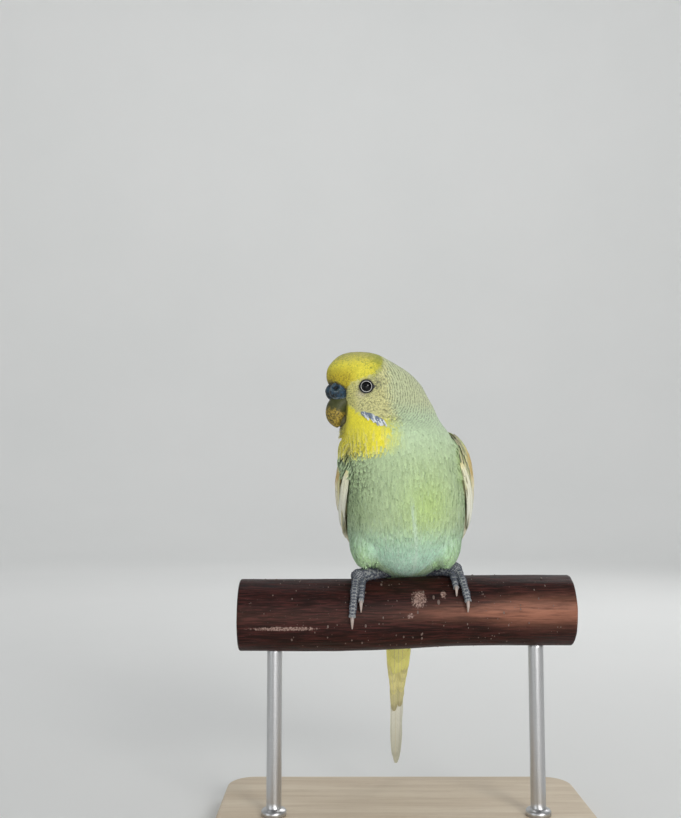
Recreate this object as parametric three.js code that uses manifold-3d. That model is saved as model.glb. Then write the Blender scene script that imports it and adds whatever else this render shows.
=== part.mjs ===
// A life-size model of a budgerigar on a cut length of branch, held up by a plain display stand.
// Units are millimetres and +Z is up. The bird faces -Y, its left side is +X, and its head is turned
// to its right. The origin is the middle of the underside of the stand's base.
// The bird, the branch and the rods are drawn about the branch's axis and then lifted to its height.
import * as THREE from "three";
import { mergeVertices } from "three/addons/utils/BufferGeometryUtils.js";
import Module from "manifold-3d";

const wasm = await Module();
wasm.setup();

// Clear space between pieces that touch
const GAP = 0.3;

// Branch and stand
const PERCH_HEIGHT = 86;
const PERCH_RADIUS = 14;
const PERCH_TAPER = 0.18;
const PERCH_LENGTH = 132;
const PERCH_CHAMFER = 0.9;
const PERCH_CROOK = { lift: 0.5, rise: 1, middle: 4, reach: 18 };
const BASE = { length: 150, width: 104, thick: 8, corner: 12, bevel: 1 };
const ROD = { radius: 3, apart: 104 };

// Head: its origin lies between the eyes, and its turn is measured from facing front
const HEAD = { x: -14.9, y: -3, z: 90.2, turn: 68 };
const EYE = { forward: 4.6, up: -0.2, radius: 3.3, sunk: 2.4, lid: 2.65, lidThick: 0.45 };
const CERE = { forward: 13.2, apart: 1.9, up: -1.8, depth: 3.6, width: 2.5, height: 3.5 };
const NOSTRIL = { forward: 15.6, apart: 3.0, up: 0.1, radius: 0.8 };

// Body: level sections from the root of the tail to the crown. Each has the height of its plane above
// the branch's axis, the place of its middle, how far its front is turned to the bird's right, and how
// far the plumage reaches from the middle to the front, the back and the sides.
const SECTIONS = [
  { name: "tail taper", z: -19, x: -0.8, y: 33, turn: 0, front: 1.6, back: 1.2, side: 4.2 },
  { name: "tail root", z: -9, x: -0.9, y: 29.9, turn: 0, front: 4, back: 3.2, side: 6.2 },
  { name: "under tail", z: -3, x: -0.9, y: 27.8, turn: 0, front: 6.8, back: 4.8, side: 7.6 },
  { name: "vent", z: 4, x: -0.8, y: 24.4, turn: 0, front: 8.4, back: 7.4, side: 10 },
  { name: "rump", z: 9, x: -0.5, y: 20, turn: 0, front: 6.3, back: 11.3, side: 13.4 },
  { name: "crotch", z: 12.6, x: -0.3, y: 15, turn: 0, front: 5, back: 15.8, side: 13.4 },
  { name: "lower belly", z: 15.2, x: 0.8, y: 10, turn: 0, front: 8, back: 20.2, side: 12.4 },
  { name: "belly", z: 18, x: 0.6, y: 6, turn: 0, front: 12.4, back: 23.6, side: 15 },
  { name: "thigh", z: 22.5, x: 0.3, y: 3, turn: 0, front: 17, back: 25.4, side: 18.8 },
  { name: "keel", z: 30, x: 0.3, y: 1, turn: 0, front: 21.6, back: 25.8, side: 22.9 },
  { name: "flank", z: 40, x: 0.5, y: 0, turn: 0, front: 24.4, back: 24.8, side: 23.6 },
  { name: "breast", z: 50, x: 0.2, y: -1.5, turn: 3, front: 24.3, back: 23.8, side: 23.6 },
  { name: "shoulder", z: 59, x: -0.8, y: -2.2, turn: 10, front: 22.8, back: 21.6, side: 23.4 },
  { name: "neck base", z: 66, x: -2.2, y: -2.2, turn: 20, front: 21.8, back: 19.6, side: 23.4 },
  { name: "neck", z: 72.5, x: -3.6, y: -1.6, turn: 36, front: 22.4, back: 20, side: 21.4 },
  { name: "throat", z: 77, x: -4.6, y: -1, turn: 48, front: 21.8, back: 20.2, side: 18 },
  { name: "cheek", z: 82.3, x: -6.4, y: 0, turn: 60, front: 20.6, back: 20.4, side: 14.8 },
  { name: "jaw", z: 87.7, x: -8.5, y: -0.4, turn: 67, front: 20, back: 19, side: 12.8 },
  { name: "brow", z: 92, x: -11, y: -1.3, turn: 68, front: 21, back: 19.3, side: 11.6 },
  { name: "forehead", z: 97, x: -14.5, y: -2.8, turn: 68, front: 17.6, back: 17.6, side: 10.7 },
  { name: "crown edge", z: 101.3, x: -16.9, y: -3.9, turn: 68, front: 12.1, back: 12.1, side: 8.2 },
  { name: "crown slope", z: 104, x: -17.7, y: -4.2, turn: 68, front: 7, back: 7, side: 5.2 },
  { name: "crown", z: 105, x: -18, y: -4.2, turn: 68, front: 0, back: 0, side: 0 },
];
const BODY_SIDES = 26;
const RINGS_PER_SECTION = 2;

// Planes that part the body: a point of each, and the way that it faces
const TAIL_PLANE = { at: [0, 24, 1.5], facing: [0, -0.35, 1] };
const NECK_PLANE = { at: [-3, -2, 67], facing: [-0.34, -0.06, 0.94] };
const HEAD_PLANE = { at: [-9, -1, 81.5], facing: [-0.34, -0.15, 0.93] };

// Legs: each thigh is a lobe of plumage, and each foot grips the branch at an angle from its top
const THIGH = { x: 13.8, y: -3.4, z: 27.8, wide: 8.5, deep: 11, high: 9.6 };
const TARSUS = { radius: 1.6, ball: 2.6, ankle: [9, 4, 19] };
const FEET = {
  right: {
    x: -18.6,
    grip: 20,
    toes: [
      { name: "1", radius: 1.15, rootX: 1.2, tipX: 3.2, root: -6, end: -34, claw: -50 },
      { name: "2", radius: 1.2, rootX: 1.4, tipX: 0.7, root: 8, end: 42, claw: 60 },
      { name: "3", radius: 1.42, rootX: -1.1, tipX: -2.7, root: 8, end: 64, claw: 85 },
      { name: "4", radius: 1.3, rootX: -1.3, tipX: -1.6, root: -6, end: -48, claw: -66 },
    ],
  },
  left: {
    x: 20,
    grip: 9,
    toes: [
      { name: "1", radius: 1.15, rootX: -1.2, tipX: -3.2, root: -6, end: -36, claw: -52 },
      { name: "2", radius: 1.2, rootX: -1.4, tipX: -0.8, root: 8, end: 37, claw: 52 },
      { name: "3", radius: 1.42, rootX: 1.1, tipX: 3.3, root: 8, end: 59, claw: 77 },
      { name: "4", radius: 1.3, rootX: 1.3, tipX: 3.6, root: -6, end: -50, claw: -68 },
    ],
  },
};

// Wings: a pad of muscle and small feathers from which tiers of feathers hang. Places on the wing are
// a height above the branch's axis, an angle round the body from its front, and a lift off the body.
const SHRUG = {
  left: { root: 1, tip: 0, lift: 1 },
  right: { root: -8, tip: -2, lift: 0.85 },
};
const WING_PAD = { top: 73, bottom: 44, middle: 107, spread: 38, edge: -0.6, crest: 4.6 };
const WING_TILT = 7.2;
const WING_TIERS = [
  {
    name: "primaries", count: 5, half: 2.9, thick: 0.9, fan: [88, 100],
    root: { z: [58, 58], lift: [1.2, 1.5] },
    bend: { z: [28, 33], angle: [110, 128], lift: [1.7, 2.1] },
    tip: { z: [-7, 12], angle: [150, 160], lift: [1.5, 1.8] },
  },
  {
    name: "secondaries", count: 5, half: 3.5, thick: 0.9, fan: [96, 134],
    root: { z: [58, 58], lift: [1.8, 1.8] },
    bend: { z: [38, 40], angle: [108, 146], lift: [3, 3.1] },
    tip: { z: [14, 24], angle: [144, 165], lift: [2.5, 2.7] },
  },
  {
    name: "greater coverts", count: 5, half: 3.6, thick: 0.9, fan: [84, 132],
    root: { z: [60, 60], lift: [2, 2] },
    bend: { z: [50, 50], angle: [88, 142], lift: [4.2, 4] },
    tip: { z: [33, 37], angle: [97, 150], lift: [2.5, 3] },
  },
  {
    name: "median coverts", count: 5, half: 3.5, thick: 0.9, fan: [84, 128],
    root: { z: [66, 66], lift: [2.4, 2.2] },
    bend: { z: [58, 58], angle: [86, 134], lift: [5.2, 4.7] },
    tip: { z: [44, 48], angle: [91, 141], lift: [4.2, 4.2] },
  },
];

// Tail: pairs of feathers from the long middle pair outwards, then the short coverts above and below
const TAIL = { x: -0.5, y: 28.6, z: 2, lean: 14, sway: -0.012, thick: 0.85, layer: 0.6 };
const TAIL_PAIRS = [
  { length: [76, 74.5], half: 2.5, root: 0.5, tip: 0.2 },
  { length: [49, 51], half: 2.1, root: 1.3, tip: 1.2 },
  { length: [42, 43], half: 2.1, root: 2.2, tip: 1.6 },
  { length: [37, 38], half: 2.1, root: 3.1, tip: 2.2 },
  { length: [33, 34], half: 2.1, root: 4, tip: 2.6 },
];
const TAIL_COVERTS = [
  { from: 3, to: 27, rootX: 0, tipX: 0, rootUp: 2.4, tipUp: 2.1, half: 3.2 },
  { from: 3, to: 22, rootX: 2.8, tipX: 2.6, rootUp: 1.8, tipUp: 1.6, half: 2.8 },
  { from: 3, to: 22, rootX: -2.8, tipX: -2.6, rootUp: 1.8, tipUp: 1.6, half: 2.8 },
  { from: 3, to: 33, rootX: 0, tipX: 0.4, rootUp: -4, tipUp: -2.2, half: 3 },
  { from: 3, to: 28, rootX: 3.2, tipX: 2.9, rootUp: -3.2, tipUp: -1.9, half: 2.8 },
  { from: 3, to: 28, rootX: -3.2, tipX: -2.9, rootUp: -3.2, tipUp: -1.9, half: 2.8 },
];

const radians = THREE.MathUtils.degToRad;
const mix = THREE.MathUtils.lerp;
const vector = (x, y, z) => new THREE.Vector3(x, y, z);

// Shapes

// A closed shape through rings that have the same number of points. A strip's rings run from its left
// edge over the top to its right edge and back below, and both its faces are split alike. Any other
// shape is split along the shorter way across each patch.
function loft(rings, strip = false) {
  const sides = rings[0].length;
  const points = rings.flat();
  const faces = [];
  for (let ring = 0; ring + 1 < rings.length; ring++) {
    for (let side = 0; side < sides; side++) {
      const a = ring * sides + side;
      const b = ring * sides + ((side + 1) % sides);
      const [c, d] = [a + sides, b + sides];
      const shorter = points[a].distanceTo(points[d]) < points[b].distanceTo(points[c]);
      if (strip ? side < sides / 2 : shorter) faces.push(a, b, d, a, d, c);
      else faces.push(a, b, c, b, d, c);
    }
  }
  for (const ring of [0, rings.length - 1]) {
    const middle = points.length;
    points.push(rings[ring].reduce((sum, p) => sum.add(p), vector(0, 0, 0)).divideScalar(sides));
    for (let side = 0; side < sides; side++) {
      const a = ring * sides + side;
      const b = ring * sides + ((side + 1) % sides);
      if (ring === 0) faces.push(middle, b, a);
      else faces.push(middle, a, b);
    }
  }
  const geometry = new THREE.BufferGeometry().setFromPoints(points);
  geometry.setIndex(faces);
  return geometry;
}

// Drops the faces that lost their area when points were merged, and turns the rest outwards.
function closedFaces(geometry) {
  const index = geometry.index.array;
  const p = geometry.getAttribute("position");
  const corner = [vector(0, 0, 0), vector(0, 0, 0), vector(0, 0, 0)];
  const kept = [];
  let volume = 0;
  for (let i = 0; i < index.length; i += 3) {
    const [a, b, c] = [index[i], index[i + 1], index[i + 2]];
    if (a === b || b === c || c === a) continue;
    kept.push([a, b, c]);
    corner.forEach((v, k) => v.fromBufferAttribute(p, kept.at(-1)[k]));
    volume += corner[0].dot(corner[1].clone().cross(corner[2]));
  }
  return new Uint32Array(kept.flatMap(([a, b, c]) => (volume < 0 ? [a, c, b] : [a, b, c])));
}

// A three.js geometry as a solid that can be joined and cut.
function solid(geometry) {
  const bare = geometry.clone();
  for (const name of ["normal", "uv"]) bare.deleteAttribute(name);
  const merged = mergeVertices(bare, 1e-4);
  return new wasm.Manifold(
    new wasm.Mesh({
      numProp: 3,
      vertProperties: new Float32Array(merged.getAttribute("position").array),
      triVerts: closedFaces(merged),
    }),
  );
}

// The largest closed surface of a solid.
function largest(shape) {
  return shape.decompose().reduce((best, s) => (s.volume() > best.volume() ? s : best));
}

const joined = (shapes) => shapes.reduce((whole, shape) => whole.add(shape));
const without = (shape, cutters) => cutters.reduce((rest, cutter) => rest.subtract(cutter), shape);

function ellipsoid(centre, radii, detail = 16) {
  const geometry = new THREE.SphereGeometry(1, detail, Math.round(detail * 0.7));
  geometry.scale(...radii).translate(...centre);
  return solid(geometry);
}

// A big block that fills everything on one side of a plane, a little way off it.
function halfSpace({ at, facing }, side) {
  const size = 400;
  const way = vector(...facing).normalize().multiplyScalar(side);
  const block = new THREE.BoxGeometry(size, size, size);
  block.applyQuaternion(new THREE.Quaternion().setFromUnitVectors(vector(0, 0, 1), way));
  block.translate(...vector(...at).addScaledVector(way, size / 2 + GAP / 2).toArray());
  return solid(block);
}

// A round bar along a path, with a radius that may change along it. A grown one is also longer.
function tube({ path, radius, up, sides = 8, steps = 8, grow = 0 }) {
  const rings = [];
  for (let step = 0; step <= steps; step++) {
    const s = step / steps;
    const ahead = path(Math.min(1, s + 1e-3)).sub(path(Math.max(0, s - 1e-3))).normalize();
    const across = ahead.clone().cross(up(s)).normalize();
    const above = across.clone().cross(ahead);
    const ring = Array.from({ length: sides }, (_, side) => {
      const a = (2 * Math.PI * side) / sides;
      return path(s)
        .addScaledVector(across, -Math.cos(a) * (radius(s) + grow))
        .addScaledVector(above, Math.sin(a) * (radius(s) + grow));
    });
    const moved = (way) => ring.map((p) => p.clone().addScaledVector(ahead, way * grow));
    if (step === 0 && grow > 0) rings.push(moved(-1));
    rings.push(ring);
    if (step === steps && grow > 0) rings.push(moved(1));
  }
  return solid(loft(rings));
}

// A feather: a flat blade with a raised shaft line on both faces, narrow at its root and tip. Its tilt
// lifts one edge, so that it overlaps its neighbour.
const BLADE = [
  { s: 0, width: 0.5, thick: 1 },
  { s: 0.35, width: 0.9, thick: 1 },
  { s: 0.7, width: 1, thick: 0.9 },
  { s: 0.9, width: 0.8, thick: 0.75 },
  { s: 1, width: 0.25, thick: 0.55 },
];
function feather({ path, normal, half, thick, tilt = 0 }) {
  const rings = BLADE.map(({ s, width, thick: share }) => {
    const ahead = path(Math.min(1, s + 1e-3)).sub(path(Math.max(0, s - 1e-3))).normalize();
    const across = ahead.clone().cross(normal(s)).normalize().applyAxisAngle(ahead, tilt);
    const out = across.clone().cross(ahead);
    const middle = path(s);
    return [
      middle.clone().addScaledVector(across, -half * width),
      middle.clone().addScaledVector(out, (thick * share) / 2),
      middle.clone().addScaledVector(across, half * width),
      middle.clone().addScaledVector(out, (-thick * share) / 2),
    ];
  });
  return solid(loft(rings, true));
}

// Body

// A smooth value between the sections, where t counts them from 0.
function sectionValue(key, t) {
  const last = SECTIONS.length - 1;
  const i = Math.min(last - 1, Math.max(0, Math.floor(t)));
  const s = t - i;
  const at = (k) => SECTIONS[Math.min(last, Math.max(0, k))][key];
  const [a, b, c, d] = [at(i - 1), at(i), at(i + 1), at(i + 2)];
  return b + 0.5 * s * (c - a + s * (2 * a - 5 * b + 4 * c - d + s * (3 * (b - c) + d - a)));
}

function bodyPoint(t, angle, grow = 0) {
  const turn = radians(sectionValue("turn", t));
  const reach = Math.cos(angle) >= 0 ? sectionValue("front", t) : sectionValue("back", t);
  const forward = Math.cos(angle) * (Math.max(0, reach) + grow);
  const left = Math.sin(angle) * (Math.max(0, sectionValue("side", t)) + grow);
  return vector(
    sectionValue("x", t) - forward * Math.sin(turn) + left * Math.cos(turn),
    sectionValue("y", t) - forward * Math.cos(turn) - left * Math.sin(turn),
    sectionValue("z", t),
  );
}

function bodyNormal(t, angle) {
  const step = 0.01;
  const round = bodyPoint(t, angle + step).sub(bodyPoint(t, angle - step));
  const up = bodyPoint(t + step, angle).sub(bodyPoint(t - step, angle));
  return round.cross(up).normalize();
}

function sectionAtHeight(z) {
  let [low, high] = [0, SECTIONS.length - 1];
  for (let i = 0; i < 40; i++) {
    const middle = (low + high) / 2;
    if (sectionValue("z", middle) < z) low = middle;
    else high = middle;
  }
  return low;
}

function bodyLoft(grow = 0) {
  const rings = [];
  const steps = (SECTIONS.length - 1) * RINGS_PER_SECTION;
  for (let step = 0; step <= steps; step++) {
    const t = step / RINGS_PER_SECTION;
    rings.push(
      Array.from({ length: BODY_SIDES }, (_, side) =>
        bodyPoint(t, (2 * Math.PI * side) / BODY_SIDES, grow),
      ),
    );
  }
  return solid(loft(rings));
}

// Head

const headTurn = radians(HEAD.turn);
const HEAD_AXES = {
  forward: vector(-Math.sin(headTurn), -Math.cos(headTurn), 0),
  left: vector(Math.cos(headTurn), -Math.sin(headTurn), 0),
};

function headPoint(forward, left, up) {
  return vector(HEAD.x, HEAD.y, HEAD.z + up)
    .addScaledVector(HEAD_AXES.forward, forward)
    .addScaledVector(HEAD_AXES.left, left);
}

// The point on the side of the head that lies this far forward and up, and the way it faces.
function cheekSpot(side, forward, up) {
  const t = sectionAtHeight(HEAD.z + up);
  const ahead = (angle) => bodyPoint(t, angle).sub(headPoint(0, 0, 0)).dot(HEAD_AXES.forward);
  let [near, far] = [0, Math.PI];
  for (let i = 0; i < 40; i++) {
    const middle = (near + far) / 2;
    if (ahead(side * middle) > forward) near = middle;
    else far = middle;
  }
  return { point: bodyPoint(t, side * near), facing: bodyNormal(t, side * near) };
}

function headLobe({ forward, up }, left, radii, detail) {
  const geometry = new THREE.SphereGeometry(1, detail, Math.round(detail * 0.7));
  geometry.scale(...radii);
  const basis = new THREE.Matrix4().makeBasis(HEAD_AXES.forward, HEAD_AXES.left, vector(0, 0, 1));
  geometry.applyMatrix4(basis).translate(...headPoint(forward, left, up).toArray());
  return solid(geometry);
}

function cereShape(grow = 0) {
  const radii = [CERE.depth, CERE.width, CERE.height].map((r) => r + grow);
  return headLobe(CERE, CERE.apart, radii, 11).add(headLobe(CERE, -CERE.apart, radii, 11));
}

function cere() {
  const pit = [NOSTRIL.radius, NOSTRIL.radius, NOSTRIL.radius];
  const pits = [1, -1].map((side) => headLobe(NOSTRIL, side * NOSTRIL.apart, pit, 8));
  return without(cereShape(), pits);
}

// The upper beak hooks round a point in the mouth: each station is an angle above straight ahead, the
// reach of its inner and outer faces from that point, and its half width.
const BEAK_HINGE = { forward: 9.3, up: -11 };
const BEAK = [
  { angle: 105, inner: 2.2, outer: 9.4, width: 3.9 },
  { angle: 70, inner: 2.2, outer: 9.2, width: 4.1 },
  { angle: 38, inner: 2.2, outer: 8.9, width: 4.1 },
  { angle: 12, inner: 2.6, outer: 8.6, width: 3.7 },
  { angle: -14, inner: 3.2, outer: 8.2, width: 3 },
  { angle: -38, inner: 4.6, outer: 7.8, width: 1.9 },
  { angle: -58, inner: 6.3, outer: 7.2, width: 0.6 },
];
const BEAK_SIDES = 10;
function upperBeak(grow = 0) {
  const turned = (station, way) => ({ ...station, angle: station.angle + way * 20 * grow });
  const ends = grow > 0 ? [turned(BEAK[0], 1), turned(BEAK.at(-1), -1)] : [];
  const rings = [...ends.slice(0, 1), ...BEAK, ...ends.slice(1)].map((station) => {
    const angle = radians(station.angle);
    const middle = (station.outer + station.inner) / 2;
    const half = (station.outer - station.inner) / 2 + grow;
    return Array.from({ length: BEAK_SIDES }, (_, side) => {
      const round = (2 * Math.PI * side) / BEAK_SIDES;
      const reach = middle + half * Math.cos(round);
      return headPoint(
        BEAK_HINGE.forward + reach * Math.cos(angle),
        (station.width + grow) * Math.sin(round),
        BEAK_HINGE.up + reach * Math.sin(angle),
      );
    });
  });
  return solid(loft(rings));
}

const LOWER_BEAK = { forward: 9.8, up: -12.8, depth: 3, width: 2.9, height: 3.5 };
function lowerBeak(grow = 0) {
  const radii = [LOWER_BEAK.depth, LOWER_BEAK.width, LOWER_BEAK.height].map((r) => r + grow);
  return headLobe(LOWER_BEAK, 0, radii, 12);
}

function eyePlace(side) {
  const { point, facing } = cheekSpot(side, EYE.forward, EYE.up);
  return { centre: point.clone().addScaledVector(facing, -EYE.sunk), rim: point, facing };
}

function eyeBall(side, grow = 0) {
  const radius = EYE.radius + grow;
  return ellipsoid(eyePlace(side).centre.toArray(), [radius, radius, radius], 12);
}

function eyeLids(side) {
  const { rim, facing } = eyePlace(side);
  const ring = new THREE.TorusGeometry(EYE.lid, EYE.lidThick, 5, 14);
  ring.applyQuaternion(new THREE.Quaternion().setFromUnitVectors(vector(0, 0, 1), facing));
  ring.translate(...rim.toArray());
  return solid(ring);
}

// Legs

// The branch tapers a little from the bird's right to its left, and rises a little at a slight crook.
const perchRadius = (x) => PERCH_RADIUS - (PERCH_TAPER * x) / (PERCH_LENGTH / 2);
const perchRise = (x) =>
  PERCH_CROOK.lift + PERCH_CROOK.rise * Math.tanh((x - PERCH_CROOK.middle) / PERCH_CROOK.reach);

// A point off the branch's surface: an angle from its top towards the front, and a height over it.
function onPerch(x, angle, height) {
  const reach = perchRadius(x) + GAP + height;
  return vector(
    x,
    -reach * Math.sin(radians(angle)),
    perchRise(x) + reach * Math.cos(radians(angle)),
  );
}
const perchOut = (angle) => vector(0, -Math.sin(radians(angle)), Math.cos(radians(angle)));

function thigh(side, grow = 0) {
  const radii = [THIGH.wide, THIGH.deep, THIGH.high].map((r) => r + grow);
  return ellipsoid([side * THIGH.x, THIGH.y, THIGH.z], radii, 14);
}

function shank(side, foot, grow = 0) {
  const ball = onPerch(foot.x, foot.grip, TARSUS.ball);
  const ankle = vector(side * TARSUS.ankle[0], TARSUS.ankle[1], TARSUS.ankle[2]);
  const bone = tube({
    path: (s) => ankle.clone().lerp(ball, s),
    radius: () => TARSUS.radius,
    up: () => vector(0, 0, 1),
    steps: 1,
    sides: 10,
    grow,
  });
  return bone.add(ellipsoid(ball.toArray(), Array(3).fill(TARSUS.ball + grow), 10));
}

// A toe bends round the branch, with a swelling at each joint.
const TOE_JOINTS = 2.5;
function toeShape(foot, toe, grow = 0) {
  const radius = (s) =>
    toe.radius * (1.06 - 0.2 * s) * (1 + 0.07 * Math.cos(2 * Math.PI * TOE_JOINTS * s));
  const angle = (s) => foot.grip + mix(toe.root, toe.end, s);
  return tube({
    path: (s) => onPerch(foot.x + mix(toe.rootX, toe.tipX, s), angle(s), radius(s)),
    radius,
    up: (s) => perchOut(angle(s)),
    steps: 8,
    sides: 6,
    grow,
  });
}

const CLAW = { base: 0.95, tip: 0.25, arch: 0.9, gap: 1.6 };
function clawShape(foot, toe) {
  const start = toe.end + Math.sign(toe.end) * CLAW.gap;
  const angle = (s) => foot.grip + mix(start, toe.claw, s);
  const radius = (s) => mix(CLAW.base, CLAW.tip, s);
  const height = (s) => radius(s) + CLAW.arch * Math.sin(Math.PI * Math.min(1, s * 0.9 + 0.1));
  return tube({
    path: (s) => onPerch(foot.x + toe.tipX, angle(s), height(s)),
    radius,
    up: (s) => perchOut(angle(s)),
    steps: 3,
    sides: 5,
  });
}

// Wings

// A point over the body's surface: a height, an angle from its front, and a lift off it.
function overBody(side, z, angle, lift) {
  const t = sectionAtHeight(z);
  const round = side * radians(angle) + radians(sectionValue("turn", t));
  const normal = bodyNormal(t, round);
  return { point: bodyPoint(t, round).addScaledVector(normal, lift), normal };
}

function wingPad(side, shrug) {
  const [rows, columns] = [6, 5];
  const round = (share) => Math.sqrt(1 - 0.96 * (2 * share - 1) ** 2);
  const place = (row, column, outer) => {
    const [u, v] = [row / rows, column / columns];
    const lift = outer ? mix(WING_PAD.edge, WING_PAD.crest, round(u) * round(v)) : -1.5;
    const z = mix(WING_PAD.top, WING_PAD.bottom, u) + shrug.root;
    const angle = WING_PAD.middle + WING_PAD.spread * round(u) ** 0.7 * (2 * v - 1);
    return overBody(side, z, angle, lift * (outer ? shrug.lift : 1)).point;
  };
  const rings = [];
  for (let row = 0; row <= rows; row++) {
    const over = Array.from({ length: columns + 1 }, (_, column) => place(row, column, true));
    const under = Array.from({ length: columns + 1 }, (_, column) => place(row, column, false));
    rings.push([...over, ...under.reverse()]);
  }
  return solid(loft(rings, true));
}

function wingFeather(side, shrug, tier, share) {
  const pick = (range) => mix(range[0], range[1], share);
  const stops = [
    { z: pick(tier.root.z) + shrug.root, angle: pick(tier.fan), lift: pick(tier.root.lift) },
    {
      z: pick(tier.bend.z) + mix(shrug.root, shrug.tip, 0.5),
      angle: pick(tier.bend.angle),
      lift: pick(tier.bend.lift),
    },
    { z: pick(tier.tip.z) + shrug.tip, angle: pick(tier.tip.angle), lift: pick(tier.tip.lift) },
  ];
  const along = (key, s) =>
    (1 - s) ** 2 * stops[0][key] + 2 * s * (1 - s) * stops[1][key] + s * s * stops[2][key];
  const lift = (s) => along("lift", s) * shrug.lift;
  const at = (s) => overBody(side, along("z", s), along("angle", s), lift(s));
  return feather({
    path: (s) => at(s).point,
    normal: (s) => at(s).normal,
    half: tier.half,
    thick: tier.thick,
    tilt: side * radians(WING_TILT),
  });
}

function wing(side, shrug) {
  const feathers = WING_TIERS.flatMap((tier) =>
    Array.from({ length: tier.count }, (_, i) =>
      wingFeather(side, shrug, tier, i / (tier.count - 1)),
    ),
  );
  return joined([wingPad(side, shrug), ...feathers]);
}

// Tail

const tailLean = radians(TAIL.lean);
const TAIL_AXES = {
  along: vector(TAIL.sway, Math.sin(tailLean), -Math.cos(tailLean)),
  up: vector(0, Math.cos(tailLean), Math.sin(tailLean)),
};

// A feather of the tail: how far along it starts and ends, and its place across and over the tail.
function tailFeather({ from, to, rootX, tipX, rootUp, tipUp, half }) {
  return feather({
    path: (s) =>
      vector(TAIL.x + mix(rootX, tipX, s), TAIL.y, TAIL.z)
        .addScaledVector(TAIL_AXES.along, mix(from, to, s))
        .addScaledVector(TAIL_AXES.up, mix(rootUp, tipUp, s)),
    normal: () => TAIL_AXES.up.clone(),
    half,
    thick: TAIL.thick,
  });
}

function tail(root) {
  const feathers = TAIL_PAIRS.flatMap((pair, i) =>
    [1, -1].map((side, k) =>
      tailFeather({
        from: 2,
        to: pair.length[k],
        rootX: side * pair.root,
        tipX: side * pair.tip,
        rootUp: 1.4 - TAIL.layer * (i + 0.5 * k),
        tipUp: 1.4 - TAIL.layer * (i + 0.5 * k),
        half: pair.half,
      }),
    ),
  );
  return joined([root, ...feathers, ...TAIL_COVERTS.map(tailFeather)]);
}

// Branch and stand

function perch(grow = 0) {
  const [half, sides, steps] = [PERCH_LENGTH / 2, 32, 7];
  const inner = half - PERCH_CHAMFER;
  const stops = Array.from({ length: steps + 1 }, (_, i) => mix(-inner, inner, i / steps));
  const ring = (x, radius) =>
    Array.from({ length: sides }, (_, side) => {
      const a = (2 * Math.PI * side) / sides;
      return vector(x, radius * Math.sin(a), perchRise(x) + radius * Math.cos(a));
    });
  return solid(
    loft([
      ring(-half, perchRadius(-half) - PERCH_CHAMFER + grow),
      ...stops.map((x) => ring(x, perchRadius(x) + grow)),
      ring(half, perchRadius(half) - PERCH_CHAMFER + grow),
    ]),
  );
}

function rod(side) {
  const bottom = BASE.thick + GAP - PERCH_HEIGHT;
  const length = -bottom - PERCH_RADIUS / 2;
  const bar = new THREE.CylinderGeometry(ROD.radius, ROD.radius, length, 20);
  bar.rotateX(Math.PI / 2).translate((side * ROD.apart) / 2, 0, bottom + length / 2);
  return largest(solid(bar).subtract(perch(GAP)));
}

function base() {
  const [x, y, r] = [BASE.length / 2 - BASE.bevel, BASE.width / 2 - BASE.bevel, BASE.corner];
  const outline = new THREE.Shape();
  outline.moveTo(-x + r, -y).lineTo(x - r, -y).absarc(x - r, -y + r, r, -Math.PI / 2, 0);
  outline.lineTo(x, y - r).absarc(x - r, y - r, r, 0, Math.PI / 2);
  outline.lineTo(-x + r, y).absarc(-x + r, y - r, r, Math.PI / 2, Math.PI);
  outline.lineTo(-x, -y + r).absarc(-x + r, -y + r, r, Math.PI, 1.5 * Math.PI);
  const plate = new THREE.ExtrudeGeometry(outline, {
    depth: BASE.thick - 2 * BASE.bevel,
    bevelSize: BASE.bevel,
    bevelThickness: BASE.bevel,
    bevelSegments: 1,
    curveSegments: 4,
  });
  return solid(plate.translate(0, 0, BASE.bevel));
}

// Assembly

const SIDES = { left: 1, right: -1 };

const FINISH = {
  plumage: { color: 0x9fc79b, roughness: 0.8 },
  crown: { color: 0xd9cf45, roughness: 0.8 },
  wing: { color: 0xd9d3a6, roughness: 0.75 },
  tail: { color: 0xc9c27a, roughness: 0.7 },
  skin: { color: 0x7d8798, roughness: 0.65 },
  claw: { color: 0xcbb3a6, roughness: 0.45 },
  cere: { color: 0x3b5c86, roughness: 0.4 },
  beak: { color: 0x8b7d45, roughness: 0.4 },
  eye: { color: 0x101010, roughness: 0.08 },
  wood: { color: 0x4a2a22, roughness: 0.6 },
  base: { color: 0xcfc6b8, roughness: 0.6 },
  metal: { color: 0x9a9a98, roughness: 0.35, metalness: 1 },
};

function mesh(name, shape, finish) {
  const { vertProperties, triVerts } = shape.getMesh();
  const geometry = new THREE.BufferGeometry();
  geometry.setAttribute("position", new THREE.BufferAttribute(vertProperties, 3));
  geometry.setIndex(new THREE.BufferAttribute(triVerts, 1));
  geometry.computeVertexNormals();
  const made = new THREE.Mesh(geometry, new THREE.MeshStandardMaterial(FINISH[finish]));
  made.name = name;
  return made;
}

const raised = new THREE.Group();
raised.position.z = PERCH_HEIGHT;

const whole = bodyLoft();
const aroundBody = bodyLoft(GAP);
const headFittings = [
  cereShape(GAP),
  upperBeak(GAP),
  lowerBeak(GAP),
  ...Object.values(SIDES).map((side) => eyeBall(side, GAP)),
];
const head = joined([
  whole.intersect(halfSpace(HEAD_PLANE, 1)),
  ...Object.values(SIDES).map(eyeLids),
]);
const neck = whole.intersect(halfSpace(HEAD_PLANE, -1)).intersect(halfSpace(NECK_PLANE, 1));
const trunk = whole.intersect(halfSpace(NECK_PLANE, -1)).intersect(halfSpace(TAIL_PLANE, 1));
const legSockets = Object.entries(SIDES).flatMap(([name, side]) => [
  thigh(side, GAP),
  shank(side, FEET[name], GAP),
]);

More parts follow.
